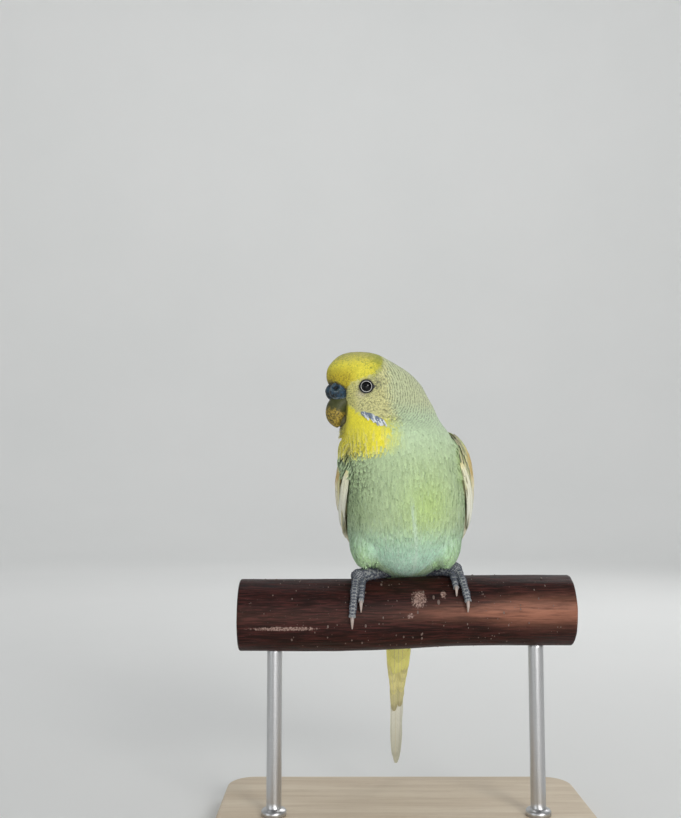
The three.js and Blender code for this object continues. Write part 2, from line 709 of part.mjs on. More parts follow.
raised.add(
  mesh("head", largest(without(head, headFittings)), "crown"),
  mesh("neck", largest(without(neck, headFittings)), "plumage"),
  mesh("torso", largest(without(trunk, legSockets)), "plumage"),
  mesh("cere", largest(cere()), "cere"),
  mesh("beak_upper", largest(upperBeak().subtract(cereShape(GAP))), "beak"),
  mesh("beak_lower", largest(lowerBeak().subtract(upperBeak(GAP))), "beak"),
  mesh("tail", largest(tail(whole.intersect(halfSpace(TAIL_PLANE, -1)))), "tail"),
  mesh("perch", perch(), "wood"),
);

for (const [name, side] of Object.entries(SIDES)) {
  const foot = FEET[name];
  raised.add(
    mesh("eye_" + name, eyeBall(side), "eye"),
    mesh("wing_" + name, largest(wing(side, SHRUG[name]).subtract(aroundBody)), "wing"),
    mesh("thigh_" + name, largest(thigh(side).subtract(shank(side, foot, GAP))), "plumage"),
    mesh("stand_rod_" + name, rod(side), "metal"),
  );
  const toes = foot.toes.map((toe) => toeShape(foot, toe));
  const grown = foot.toes.map((toe) => toeShape(foot, toe, GAP));
  const ball = shank(side, foot, GAP);
  raised.add(mesh("shank_" + name, shank(side, foot), "skin"));
  foot.toes.forEach((toe, i) => {
    const clear = [ball, ...grown.slice(0, i)];
    raised.add(
      mesh(`toe_${name}_${toe.name}`, largest(without(toes[i], clear)), "skin"),
      mesh(`claw_${name}_${toe.name}`, clawShape(foot, toe), "claw"),
    );
  });
}

const budgerigar = new THREE.Group();
budgerigar.add(raised, mesh("stand_base", base(), "base"));
export default budgerigar;
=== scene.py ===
"""A budgerigar on a cut length of branch, dressed for the render: skin, feathers, face, feet, bark.

Places are millimetres about the branch's axis, as the bird faces -Y with its left side at +X, and
put() turns them into the frame's metres.
"""
import math

import bpy
import mathutils
import numpy as np
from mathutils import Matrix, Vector
from mathutils.bvhtree import BVHTree


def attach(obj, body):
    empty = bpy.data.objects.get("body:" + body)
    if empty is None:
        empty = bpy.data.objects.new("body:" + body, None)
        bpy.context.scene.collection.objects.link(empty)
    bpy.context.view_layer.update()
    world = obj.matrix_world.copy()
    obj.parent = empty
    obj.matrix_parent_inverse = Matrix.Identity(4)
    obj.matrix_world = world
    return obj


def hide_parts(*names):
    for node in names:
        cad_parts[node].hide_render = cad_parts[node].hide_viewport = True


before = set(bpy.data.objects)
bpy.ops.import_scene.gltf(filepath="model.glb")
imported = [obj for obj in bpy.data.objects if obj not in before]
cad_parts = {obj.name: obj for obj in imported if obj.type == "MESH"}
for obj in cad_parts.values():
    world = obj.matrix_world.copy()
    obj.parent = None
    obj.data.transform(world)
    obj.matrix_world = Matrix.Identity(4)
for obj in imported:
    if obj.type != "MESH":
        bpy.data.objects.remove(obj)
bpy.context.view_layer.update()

MM = 0.001
PERCH_HEIGHT = 86.0
SIDES = {"left": 1, "right": -1}
FLESH = ["head", "neck", "torso", "thigh_left", "thigh_right"]

# Camera
CAMERA = {"at": (-25.8, -385.7, 134.4), "tilt": 5.0, "focal_px": 950.0, "frame_px": 818.0}
SENSOR = 36.0

# Head: its origin lies between the eyes, and its turn is measured from facing front
HEAD = {"x": -14.9, "y": -3.0, "z": 90.2, "turn": 68.0}
EYE = {"forward": 4.95, "up": -0.4, "radius": 3.3, "sunk": 2.4}
BEAK_ROOT = {"forward": 12.0, "up": -5.0}

# Body: level sections from the tail's taper to the crown: height, middle x and y, turn of the front
# to the bird's right, and the plumage's reach to the front, the back and the sides
SECTIONS = np.array([
    (-19, -0.8, 33, 0, 1.6, 1.2, 4.2),
    (-9, -0.9, 29.9, 0, 4, 3.2, 6.2),
    (-3, -0.9, 27.8, 0, 6.8, 4.8, 7.6),
    (4, -0.8, 24.4, 0, 8.4, 7.4, 10),
    (9, -0.5, 20, 0, 6.3, 11.3, 13.4),
    (12.6, -0.3, 15, 0, 5, 15.8, 13.4),
    (15.2, 0.8, 10, 0, 8, 20.2, 12.4),
    (18, 0.6, 6, 0, 12.4, 23.6, 15),
    (22.5, 0.3, 3, 0, 17, 25.4, 18.8),
    (30, 0.3, 1, 0, 21.6, 25.8, 22.9),
    (40, 0.5, 0, 0, 24.4, 24.8, 23.6),
    (50, 0.2, -1.5, 3, 24.3, 23.8, 23.6),
    (59, -0.8, -2.2, 10, 22.8, 21.6, 23.4),
    (66, -2.2, -2.2, 20, 21.8, 19.6, 23.4),
    (72.5, -3.6, -1.6, 36, 22.4, 20, 21.4),
    (77, -4.6, -1, 48, 21.8, 20.2, 18),
    (82.3, -6.4, 0, 60, 20.6, 20.4, 14.8),
    (87.7, -8.5, -0.4, 67, 20, 19, 12.8),
    (92, -11, -1.3, 68, 21, 19.3, 11.6),
    (97, -14.5, -2.8, 68, 17.6, 17.6, 10.7),
    (101.3, -16.9, -3.9, 68, 12.1, 12.1, 8.2),
    (104, -17.7, -4.2, 68, 7, 7, 5.2),
    (105, -18, -4.2, 68, 0, 0, 0),
])
THIGH = {"x": 13.8, "y": -3.4, "z": 27.8, "wide": 8.5, "deep": 11.0, "high": 9.6}
BELLY = {"x": 2.7, "top": 21.5, "low": 15.5, "narrow": 0.70}
THIGH_FOOT = {"top": 29.0, "low": 18.5, "x": 16.2, "narrow": 0.66}
TAIL_ROOT = np.array([-0.8, 30.0, -6.0])


# Small sums

UPWARDS = np.array([0, 0, 1.0])


def mix(a, b, share):
    return a + (b - a) * share


def smooth(low, high, value):
    """0 below low, 1 above high, and an even curve between them. High may be the smaller one."""
    share = np.clip((value - low) / (high - low), 0.0, 1.0)
    return share * share * (3 - 2 * share)


def unit(vectors):
    length = np.linalg.norm(vectors, axis=-1, keepdims=True)
    return vectors / np.maximum(length, 1e-9)


def dot(a, b):
    return (a * b).sum(-1)


def put(points):
    """Millimetres about the branch's axis as metres in the frame."""
    return (np.asarray(points, float) + (0.0, 0.0, PERCH_HEIGHT)) * MM


def full_turn(count):
    """Angles at even steps round a circle."""
    return np.linspace(0, 2 * math.pi, count, endpoint=False)


def hump(value, middle, width):
    """1 at the middle, falling away evenly to both sides."""
    return np.exp(-((value - middle) / width) ** 2)


def curve_through(table, t):
    """The rows of a table on a smooth curve through them, at t, which counts the rows from 0."""
    last = len(table) - 1
    i = np.clip(np.floor(t).astype(int), 0, last - 1)
    s = (t - i)[:, None]
    a, b, c, d = (table[np.clip(i + k, 0, last)] for k in (-1, 0, 1, 2))
    return b + 0.5 * s * (c - a + s * (2 * a - 5 * b + 4 * c - d + s * (3 * (b - c) + d - a)))


def rows_at(places, stops, rows):
    """The rows of a table, each of which belongs to a stop, at places between the stops."""
    return np.stack([np.interp(places, stops, column) for column in np.transpose(rows)], -1)


def bezier_weights(s):
    """How much the start, the bend and the end of a curve count at s, from 0 to 1."""
    return (1 - s) ** 2, 2 * s * (1 - s), s * s


def lengths_along(path):
    """How far along a path each of its points lies."""
    return np.append(0, np.cumsum(np.linalg.norm(np.diff(path, axis=0), axis=1)))


# Body form

def section_values(t):
    """Height, middle, turn and reaches at t, which counts the sections from 0."""
    return curve_through(SECTIONS, np.atleast_1d(np.asarray(t, float)))


def body_points(t, angle, grow=0.0):
    z, x, y, turn, front, back, side = section_values(t).T
    turn = np.radians(turn)
    reach = np.where(np.cos(angle) >= 0, front, back)
    ahead = np.cos(angle) * (np.maximum(0, reach) + grow)
    left = np.sin(angle) * (np.maximum(0, side) + grow)
    return np.stack([
        x - ahead * np.sin(turn) + left * np.cos(turn),
        y - ahead * np.cos(turn) - left * np.sin(turn),
        z,
    ], -1)


def body_normals(t, angle):
    step = 0.01
    round_it = body_points(t, angle + step) - body_points(t, angle - step)
    up_it = body_points(t + step, angle) - body_points(t - step, angle)
    return unit(np.cross(round_it, up_it))


FINE_T = np.linspace(0, len(SECTIONS) - 1, 2201)
FINE_Z = np.maximum.accumulate(section_values(FINE_T)[:, 0])


def section_at(z):
    return np.interp(z, FINE_Z, FINE_T)


def body_angle(points):
    """The angle in degrees round the branch's middle, from the front towards the bird's left."""
    return np.degrees(np.arctan2(points[:, 0], -points[:, 1]))


# Head axes

HEAD_AT = np.array([HEAD["x"], HEAD["y"], HEAD["z"]])
HEAD_TURN = math.radians(HEAD["turn"])
HEAD_FORWARD = np.array([-math.sin(HEAD_TURN), -math.cos(HEAD_TURN), 0])
HEAD_LEFT = np.array([math.cos(HEAD_TURN), -math.sin(HEAD_TURN), 0])


def head_point(forward, left, up):
    spot = [np.asarray(v, float)[..., None] for v in (forward, left, up)]
    return HEAD_AT + spot[0] * HEAD_FORWARD + spot[1] * HEAD_LEFT + spot[2] * UPWARDS


def head_places(points):
    """How far forward, left and up of the head's origin the points lie."""
    away = points - HEAD_AT
    return away @ HEAD_FORWARD, away @ HEAD_LEFT, away[..., 2]


def cheek_spot(side, forward, up):
    """The point on the side of the head that lies this far forward and up, and the way it faces."""
    angles = side * np.linspace(0, math.pi, 721)
    t = np.full_like(angles, section_at(HEAD["z"] + up))
    points = body_points(t, angles)
    nearest = int(np.argmin(np.abs(head_places(points)[0] - forward)))
    return points[nearest], body_normals(t, angles)[nearest]


def eye_place(side):
    rim, facing = cheek_spot(side, EYE["forward"], EYE["up"])
    return {"rim": rim, "facing": facing, "centre": rim - EYE["sunk"] * facing}


EYES = {side_name: eye_place(side) for side_name, side in SIDES.items()}
BEAK_AT = head_point(BEAK_ROOT["forward"], 0.0, BEAK_ROOT["up"])


def from_eye(points):
    """The distance from the nearer eye's line of sight, and the way out from it."""
    best, out = np.full(len(points), 99.0), np.zeros_like(points)
    for eye in EYES.values():
        away = points - eye["rim"]
        flat = away - dot(away, eye["facing"])[:, None] * eye["facing"]
        reach = np.where(dot(away, eye["facing"]) > -5, np.linalg.norm(flat, axis=1), 99.0)
        nearer = reach < best
        best = np.where(nearer, reach, best)
        out[nearer] = unit(flat)[nearer]
    return best, out


# Meshes

def new_piece(mesh, finish, name=None):
    piece = bpy.data.objects.new(name or mesh.name, mesh)
    bpy.context.scene.collection.objects.link(piece)
    mesh.materials.clear()
    mesh.materials.append(finish)
    mesh.polygons.foreach_set("use_smooth", np.ones(len(mesh.polygons), bool))
    return piece


def mesh_from(name, points, faces):
    """A mesh from points in millimetres and faces that all have the same number of corners."""
    points, faces = put(points).astype(np.float32), np.asarray(faces, np.int32)
    corners = faces.shape[1]
    mesh = bpy.data.meshes.new(name)
    mesh.vertices.add(len(points))
    mesh.vertices.foreach_set("co", points.ravel())
    mesh.loops.add(faces.size)
    mesh.loops.foreach_set("vertex_index", faces.ravel())
    mesh.polygons.add(len(faces))
    mesh.polygons.foreach_set("loop_start", np.arange(0, faces.size, corners, dtype=np.int32))
    mesh.update(calc_edges=True)
    return mesh


def paint(mesh, name, values):
    """Stores a value for each vertex: up to three numbers as a vector, or four as a colour."""
    values = np.asarray(values, float).reshape(len(mesh.vertices), -1)
    values = np.pad(values, ((0, 0), (0, max(0, 3 - values.shape[1]))))
    kind, field = ("FLOAT_COLOR", "color") if values.shape[1] == 4 else ("FLOAT_VECTOR", "vector")
    layer = mesh.attributes.new(name, kind, "POINT")
    layer.data.foreach_set(field, values.astype(np.float32).ravel())


def paint_whole(mesh, name, value):
    """Stores the same value for every vertex."""
    paint(mesh, name, np.tile(value, (len(mesh.vertices), 1)))


def as_colour(rgb):
    return np.concatenate([rgb, np.ones((len(rgb), 1))], 1)


def crease_rims(mesh, size, on_rim):
    """Keeps the two faces of each feather apart in shading, along its whole rim."""
    ends = np.empty(len(mesh.edges) * 2, np.int32)
    mesh.edges.foreach_get("vertices", ends)
    sharp = on_rim[ends % size].reshape(-1, 2).all(1)
    layer = mesh.attributes.new("sharp_edge", "BOOLEAN", "EDGE")
    layer.data.foreach_set("value", sharp)


def unwrap(mesh, name, uv_of_vertex):
    """Gives each corner the place that its vertex has on the flat map."""
    corners = np.empty(len(mesh.loops), np.int32)
    mesh.loops.foreach_get("vertex_index", corners)
    layer = mesh.uv_layers.new(name=name)
    layer.data.foreach_set("uv", uv_of_vertex[corners].astype(np.float32).ravel())


def loft_faces(rings, sides):
    """Quads between rings of points, which run upwards and anticlockwise seen from above."""
    ring, side = np.meshgrid(np.arange(rings - 1), np.arange(sides), indexing="ij")
    a = (ring * sides + side).ravel()
    b = (ring * sides + (side + 1) % sides).ravel()
    return np.stack([a, b, b + sides, a + sides], 1)


def tube_shape(rings):
    """Points and faces of a closed tube through rings of points, with a fan over each end."""
    count, sides = rings.shape[:2]
    points = np.concatenate([rings.reshape(-1, 3), rings[[0, -1]].mean(1)])
    faces = [tuple(quad) for quad in loft_faces(count, sides)]
    foot, top, last_ring = count * sides, count * sides + 1, (count - 1) * sides
    for side in range(sides):
        after = (side + 1) % sides
        faces.append((foot, after, side))
        faces.append((top, last_ring + side, last_ring + after))
    return points, faces


def closed_tubes(name, *tubes):
    """A mesh of closed tubes, each of them through its own rings of points."""
    points, faces = [], []
    for rings in tubes:
        places, corners = tube_shape(rings)
        faces += [tuple(len(points) + corner for corner in face) for face in corners]
        points += put(places).tolist()
    mesh = bpy.data.meshes.new(name)
    mesh.from_pydata(points, [], faces)
    return mesh


def move_vertices(mesh, places):
    mesh.vertices.foreach_set("co", put(places).astype(np.float32).ravel())
    mesh.update()


def hand_over(piece, nodes):
    """The piece rides on the body and stands for these nodes."""
    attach(piece, "root")
    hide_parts(*nodes)
    return piece


def finished(mesh, finish, nodes):
    """The mesh as a piece, handed over."""
    return hand_over(new_piece(mesh, finish), nodes)


def applied(piece):
    """The piece with its modifiers made part of its mesh."""
    graph = bpy.context.evaluated_depsgraph_get()
    mesh = bpy.data.meshes.new_from_object(piece.evaluated_get(graph))
    piece.modifiers.clear()
    old = piece.data
    piece.data = mesh
    bpy.data.meshes.remove(old)
    return piece


def remeshed(name, mesh, voxel, rounds, finish):
    """A smooth closed skin round everything in the mesh, with the voxel size in millimetres."""
    piece = new_piece(mesh, finish, name)
    remesh = piece.modifiers.new("remesh", "REMESH")
    remesh.mode = "VOXEL"
    remesh.voxel_size = voxel * MM
    remesh.use_smooth_shade = True
    relax = piece.modifiers.new("relax", "SMOOTH")
    relax.factor = 0.5
    relax.iterations = rounds
    return applied(piece)


def vertex_arrays(mesh):
    """The places, in millimetres about the branch's axis, and the normals of a mesh's vertices."""
    places = np.empty(len(mesh.vertices) * 3, np.float32)
    normals = np.empty_like(places)
    mesh.vertices.foreach_get("co", places)
    mesh.vertex_normals.foreach_get("vector", normals)
    places = places.reshape(-1, 3).astype(float) / MM - (0.0, 0.0, PERCH_HEIGHT)
    return places, normals.reshape(-1, 3).astype(float)


# Nodes go into the tree that is being built, which material() and plates_tree() set

BUILDING = {}


def node(kind, inputs=None, **settings):
    """A node of the kind, with values or other nodes' outputs for its inputs."""
    tree = BUILDING["tree"]
    made = tree.nodes.new(kind if "Node" in kind else "ShaderNode" + kind)
    for name, value in settings.items():
        setattr(made, name, value)
    for name, value in (inputs or {}).items():
        socket = made.inputs[name]
        if isinstance(value, bpy.types.NodeSocket):
            tree.links.new(value, socket)
        elif socket.type == "RGBA" and len(value) == 3:
            socket.default_value = (*value, 1.0)
        else:
            socket.default_value = value
    return made


def number(operation, *values):
    return node("Math", dict(enumerate(values)), operation=operation).outputs[0]


def times(*values):
    """The product of the values, worked out from the last to the first."""
    product = values[-1]
    for value in values[-2::-1]:
        product = number("MULTIPLY", value, product)
    return product


def times_plus(value, factor, extra):
    return number("MULTIPLY_ADD", value, factor, extra)


def blend(factor, first, second, mode="MIX"):
    inputs = {0: factor, 6: first, 7: second}
    return node("Mix", inputs, data_type="RGBA", blend_type=mode).outputs[2]


def shaded(base, shade):
    """A colour multiplied by a value."""
    return blend(1.0, base, node("CombineColor", {0: shade, 1: shade, 2: shade}).outputs[0], "MULTIPLY")


def band(value, low, high):
    """0 below low and 1 above high, or the other way round where high is the smaller."""
    inputs = {"Value": value, "From Min": low, "From Max": high}
    return node("MapRange", inputs, interpolation_type="SMOOTHSTEP").outputs["Result"]


def stored(name):
    """The three numbers of an attribute."""
    vector = node("Attribute", attribute_name=name).outputs["Vector"]
    return node("SeparateXYZ", {"Vector": vector}).outputs[:3]


def stored_tint():
    return node("Attribute", attribute_name="tint").outputs["Color"]


def noise(scale, detail=3.0, where=None, roughness=0.5, distortion=0.0):
    """A cloudy value. Its scale is counted per metre on object coordinates."""
    where = where or node("TexCoord").outputs["Object"]
    inputs = {"Vector": where, "Scale": scale, "Detail": detail, "Roughness": roughness,
              "Distortion": distortion}
    return node("TexNoise", inputs).outputs["Fac"]


def grain(scale, detail=3.0, **settings):
    """A cloudy value drawn out into grain or streaks by its own scale along each axis."""
    where = node("TexCoord").outputs["Object"]
    where = node("Mapping", {"Vector": where, "Scale": scale}).outputs[0]
    return noise(1.0, detail, where, **settings)


def bump(height, distance, strength=1.0):
    inputs = {"Height": height, "Distance": distance * MM, "Strength": strength}
    return node("Bump", inputs).outputs["Normal"]


def shader_inputs(base, roughness, normal=None, specular=0.5, **more):
    """The principled shader's inputs. More of them are named in small letters."""
    inputs = {"Base Color": base, "Roughness": roughness, "Specular IOR Level": specular}
    if normal:
        inputs["Normal"] = normal
    inputs.update({name.replace("_", " ").title(): value for name, value in more.items()})
    return inputs


def material(name, build):
    """A material whose build() returns the principled shader's inputs."""
    made = bpy.data.materials.new(name)
    made.use_nodes = True
    made.node_tree.nodes.clear()
    BUILDING["tree"] = made.node_tree
    shader = node("BsdfPrincipled", build())
    node("OutputMaterial", {"Surface": shader.outputs["BSDF"]})
    return made


# Plumage: where each feather points, how deep and long the coat is, and its colours

YELLOW = (0.96, 0.86, 0.065)
DEEP_YELLOW = (0.54, 0.42, 0.03)
PALE_YELLOW = (0.80, 0.77, 0.40)
CREAM = (0.67, 0.65, 0.31)
OLIVE = (0.33, 0.36, 0.05)
SAGE = (0.48, 0.61, 0.355)
NAPE_GREY = (0.59, 0.64, 0.39)
MINT = (0.58, 0.74, 0.49)
LEAF = (0.48, 0.64, 0.22)
MOSS = (0.34, 0.46, 0.22)
TEAL = (0.50, 0.80, 0.60)
PALE_TEAL = (0.64, 0.94, 0.76)
RUMP_GREEN = (0.38, 0.62, 0.28)
MANTLE = (0.60, 0.64, 0.30)
TAIL_YELLOW = (0.92, 0.84, 0.26)
PATCH_WHITE = (0.78, 0.82, 0.84)
PATCH_VIOLET = (0.22, 0.27, 0.36)
WISP = (0.71, 0.88, 0.74)
CROWN_YELLOW = (0.78, 0.70, 0.075)
CROWN_DULL = (0.46, 0.44, 0.16)
EYE_SHADE = (0.13, 0.14, 0.10)
EYE_MAUVE = (0.42, 0.36, 0.33)
BIB_GREEN = (0.66, 0.74, 0.24)
BIB_OLIVE = (0.40, 0.37, 0.10)
# Painted shadow: the dark colour of the lines round the cere and the beak
BEAK_EDGE_SHADOW = (0.09, 0.08, 0.035)
FLECK_BROWN = (0.26, 0.20, 0.03)
LORE = (0.57, 0.54, 0.18)


def lie(points, normals):
    """The way that feathers point: away from the beak on the head, then down to the tail."""
    ahead, _, up = head_places(points)
    away = unit(points - BEAK_AT)
    away[:, 2] -= 1.3 * smooth(4, -14, ahead) * smooth(16, 0, up)
    down = np.zeros_like(points)
    down[:, 2] = -1
    to_tail = unit(TAIL_ROOT - points)
    low = 0.75 * smooth(44, 12, points[:, 2])
    body = unit(mix(down, to_tail, low[:, None]))
    neck = smooth(94, 68, points[:, 2])[:, None]
    way = unit(mix(unit(away), body, neck))
    reach, out = from_eye(points)
    way = way + 1.4 * hump(reach, 2.6, 1.6)[:, None] * out
    flat = way - dot(way, normals)[:, None] * normals
    return unit(flat)


def from_beak(points):
    """The distance from the feathered edge round the cere and the beak."""
    ahead, left, up = head_places(points)
    cere = np.sqrt((ahead - 12.6) ** 2 + left ** 2 + (up + 2.1) ** 2) - 5.3
    bill = np.sqrt((ahead - 11.2) ** 2 + left ** 2 + ((up + 9.0) / 1.25) ** 2) - 5.5
    return np.minimum(cere, bill)


def coat_depth(points):
    """How far the skin lies inside the outer form of the plumage, in millimetres."""
    reach, _ = from_eye(points)
    body = mix(0.8, 1.3, smooth(86, 62, points[:, 2]))
    near = np.minimum(smooth(2.4, 7, reach), smooth(-0.5, 6, from_beak(points)))
    taper = smooth(-18, 2, points[:, 2])
    return mix(0.3, body, near) * mix(0.45, 1.0, taper)


def feather_length(points):
    reach, _ = from_eye(points)
    length = np.minimum(1.15 + 0.17 * np.maximum(0, from_beak(points)), 5.4)
    return np.minimum(length, 0.8 + 0.5 * np.maximum(0, reach - 2.7))


def crown_edge(ahead):
    """The height at which the yellow of the crown ends, this far forward on the head."""
    return np.interp(ahead, [-4.6, -3.2, -1.4, 2.2, 6.8, 10.9, 12.5], [14.5, 12, 8, 4.6, 2.9, 1.0, -4])


def freckled(points):
    """1 where pale-tipped feathers freckle the face, and 0 off it."""
    ahead, _, up = head_places(points)
    top = np.interp(ahead, [-8, 0, 4, 9, 11], [7, 7, 3.4, 1.6, -1])
    low = np.interp(ahead, [-6, 0, 4, 8, 11], [-16, -14.6, -12.6, -10, -7])
    return smooth(0.8, -0.8, up - top) * smooth(-1.2, 1.2, up - low) * smooth(-9, -3, ahead)


def strands(turned, up):
    """Uneven streaks from -1 to 1 that run down the plumage, about three millimetres apart."""
    broad = np.sin(0.62 * turned + 1.7 * np.sin(0.31 * up))
    fine = np.sin(1.43 * turned + 2.1 + 1.3 * np.sin(0.23 * up + 1.0))
    return 0.55 * broad + 0.45 * fine


# The parting down the middle of the belly: heights, and how far left of the middle it runs
PARTING = [(12, 2.9), (28.6, 3.3), (41, 1.6), (47, 0.9)]


def parting_line(z):
    return np.interp(z, *zip(*PARTING))


def lay(tint, rgb, share):
    """Lays a colour over the tints, as strongly as its share at each place."""
    tint[:] = mix(tint, np.array(rgb), np.clip(share, 0, 1)[:, None])


def lay_body(tint, points, ragged):
    """The breast, the belly with its parting, the flanks, the back and the tail's root."""
    z, angle = points[:, 2], body_angle(points)
    flank = np.abs(angle)
    lay(tint, LEAF, 0.75 * np.exp(-(((angle - 18) / 22) ** 2 + ((z - 43) / 11) ** 2)))
    lay(tint, MINT, 0.8 * smooth(58, 72, z) * smooth(-60, 10, angle))
    # Partly the breast's own olive tone, partly painted shade: darker over the bird's right side, away
    # from the light
    lay(tint, MOSS, 0.55 * smooth(-20, -62, angle) * smooth(30, 42, z) * smooth(66, 54, z))
    lay(tint, TEAL, 0.9 * smooth(38, 24, z))
    lay(tint, PALE_TEAL, 0.7 * smooth(30, 19, z) * smooth(-42, -20, angle) * smooth(54, 36, angle))
    lay(tint, LEAF, 0.55 * smooth(40, 56, flank) * smooth(100, 80, flank) * smooth(34, 22, z))
    in_front = points[:, 1] < 0
    lay(tint, WISP, 0.45 * hump(points[:, 0] - parting_line(z), 0, 0.6) * smooth(49, 40, z) * in_front)
    lay(tint, LEAF, 0.55 * smooth(46, 62, angle) * smooth(100, 84, angle) * smooth(48, 56, z)
        * smooth(72, 63, z))
    behind = smooth(95, 125, flank)
    lay(tint, MANTLE, behind * smooth(34, 44, z))
    lay(tint, RUMP_GREEN, behind * smooth(44, 34, z))
    lay(tint, TAIL_YELLOW, smooth(6, -4, z + 0.35 * ragged))


def lay_head(tint, points, ragged):
    """The nape, the face, the crown with its dull rear and dark flecks, and the shade by the eye."""
    ahead, _, up = head_places(points)
    z = points[:, 2]
    on_head = smooth(71, 78, z + 0.4 * ragged) * smooth(-19, -13, up)
    lay(tint, NAPE_GREY, smooth(76, 86, z))
    lay(tint, CREAM, on_head * smooth(-7, 0, ahead + 0.6 * ragged))
    lay(tint, LORE, 0.75 * smooth(7.5, 10, ahead) * smooth(-13, -9, up))
    over_edge = up - crown_edge(ahead)
    lay(tint, OLIVE, 0.6 * smooth(2.0, 0.2, np.abs(over_edge + 0.6)) * smooth(6, 0, ahead)
        * smooth(-5.4, -3, ahead))
    crown = smooth(-0.7, 0.7, over_edge + 0.35 * ragged) * smooth(-5.4, -3, ahead)
    lay(tint, CROWN_YELLOW, crown)
    lay(tint, CROWN_DULL, 0.9 * crown * smooth(7.5, 13.5, up + 0.8 * ragged))
    lay(tint, OLIVE, 0.85 * crown * smooth(3.4, -1.9, ahead + 1.7 * ragged))
    lay(tint, OLIVE, 0.5 * crown * (ragged > 1.0))
    lay(tint, DEEP_YELLOW, 0.9 * crown * smooth(7, 13, ahead) * smooth(9, 3, up))
    lay(tint, FLECK_BROWN, 0.7 * crown * smooth(8.5, 12, ahead) * smooth(8, 3, up) * (ragged < -0.5))
    by_eye = np.exp(-(((ahead - 0.2) / 2.4) ** 2 + ((up - 0.4) / 3.0) ** 2))
    lay(tint, EYE_SHADE, by_eye * (0.20 + 0.62 * (ragged > 0.3)))
    lay(tint, EYE_MAUVE, 0.6 * np.exp(-(((ahead - 7.0) / 1.6) ** 2 + ((up + 3.4) / 1.3) ** 2)))


def lay_bib(tint, points, ragged):
    """The yellow bib with its pale and olive streaks, and painted shade and shadow lines by the beak."""
    ahead, left, up = head_places(points)
    round_head = np.degrees(np.arctan2(np.abs(left), ahead))
    top = np.interp(round_head, [20, 32, 49, 60, 85, 96], [-6.5, -8, -10.6, -12.2, -13.8, -12.8])
    below = smooth(0.8, -0.8, up - top + 0.4 * ragged)
    slope = 0.05 * (round_head - 50) + 0.09 * np.maximum(0, 45 - round_head)
    above = smooth(-29.6, -26.2, up + 0.9 * ragged - slope)
    lay(tint, BIB_GREEN, 0.75 * below * above * smooth(103, 91, round_head + 2.5 * ragged))
    bib = below * above * smooth(94, 82, round_head + 2.5 * ragged)
    lay(tint, YELLOW, bib)
    low = bib * smooth(-15, -25, up)
    streak = strands(round_head, up) + 0.22 * ragged
    lay(tint, PALE_YELLOW, 0.6 * low * smooth(0.15, 0.6, streak))
    lay(tint, BIB_OLIVE, 0.8 * low * smooth(84, 50, round_head) * smooth(-0.1, -0.55, streak))
    edge = from_beak(points) + 0.15 * ragged
    # Painted shade: darker olive on the bib close beside and under the beak
    lay(tint, BIB_OLIVE, 0.4 * smooth(3.6, 1.2, edge) * smooth(-9, -14, up))
    # Painted shadow: dark lines where the feathers meet the cere above and the beak's sides below
    lay(tint, BEAK_EDGE_SHADOW, 0.92 * smooth(1.7, 0.8, edge) * smooth(-3.5, -1.5, up))
    lay(tint, BEAK_EDGE_SHADOW, 0.65 * smooth(0.8, 0.1, edge) * smooth(-3, -6, up))


def plumage(points, rng):
    """The colour of the feathers that show at each place, with each feather a little different."""
    ragged = rng.normal(0, 1, len(points))
    tint = np.tile(np.array(SAGE), (len(points), 1))
    for lay_part in (lay_body, lay_head, lay_bib):
        lay_part(tint, points, ragged)
    z, angle = points[:, 2], body_angle(points)
    streak = strands(2.1 * angle, z) * smooth(72, 60, z) * smooth(110, 90, np.abs(angle))
    shade = 1 + 0.04 * rng.normal(0, 1, len(points)) + 0.10 * streak
    return tint * shade[:, None]


def markings(points):
    """How strongly the fine bars, the specks and the scalloped edges show at each place."""
    ahead, _, up = head_places(points)
    round_body = np.abs(body_angle(points))
    z = points[:, 2]
    off_crown = smooth(0.5, -0.8, up - crown_edge(ahead))
    bars = smooth(1, -4, ahead) * smooth(70, 80, z) * off_crown
    bars = np.maximum(bars, 0.8 * smooth(100, 125, round_body) * smooth(56, 64, z))
    reach, _ = from_eye(points)
    specks = off_crown * smooth(-5, 1, ahead) * smooth(-12, -8, up)
    specks = np.maximum(specks, 1.4 * hump(reach, 2.5, 2.2) * off_crown)
    scallops = smooth(100, 125, round_body) * smooth(40, 48, z) * smooth(70, 60, z)
    return np.stack([bars, np.clip(specks, 0, 1.5), scallops], 1)


def barb_streaks(lean, fall, pitch, drawn_out, roughness):
    """How far out from the shaft, the slant of the barbs, and fine streaks along them."""
    across, reach, spread = stored("place")
    outward = number("ABSOLUTE", across)
    slant = times_plus(outward, lean, times(reach, fall))
    where = node("CombineXYZ", {"X": times(slant, pitch), "Y": times(reach, drawn_out), "Z": spread})
    return outward, slant, noise(1.0, 3, where.outputs[0], roughness=roughness)


BAR_PITCH = 0.92 * MM


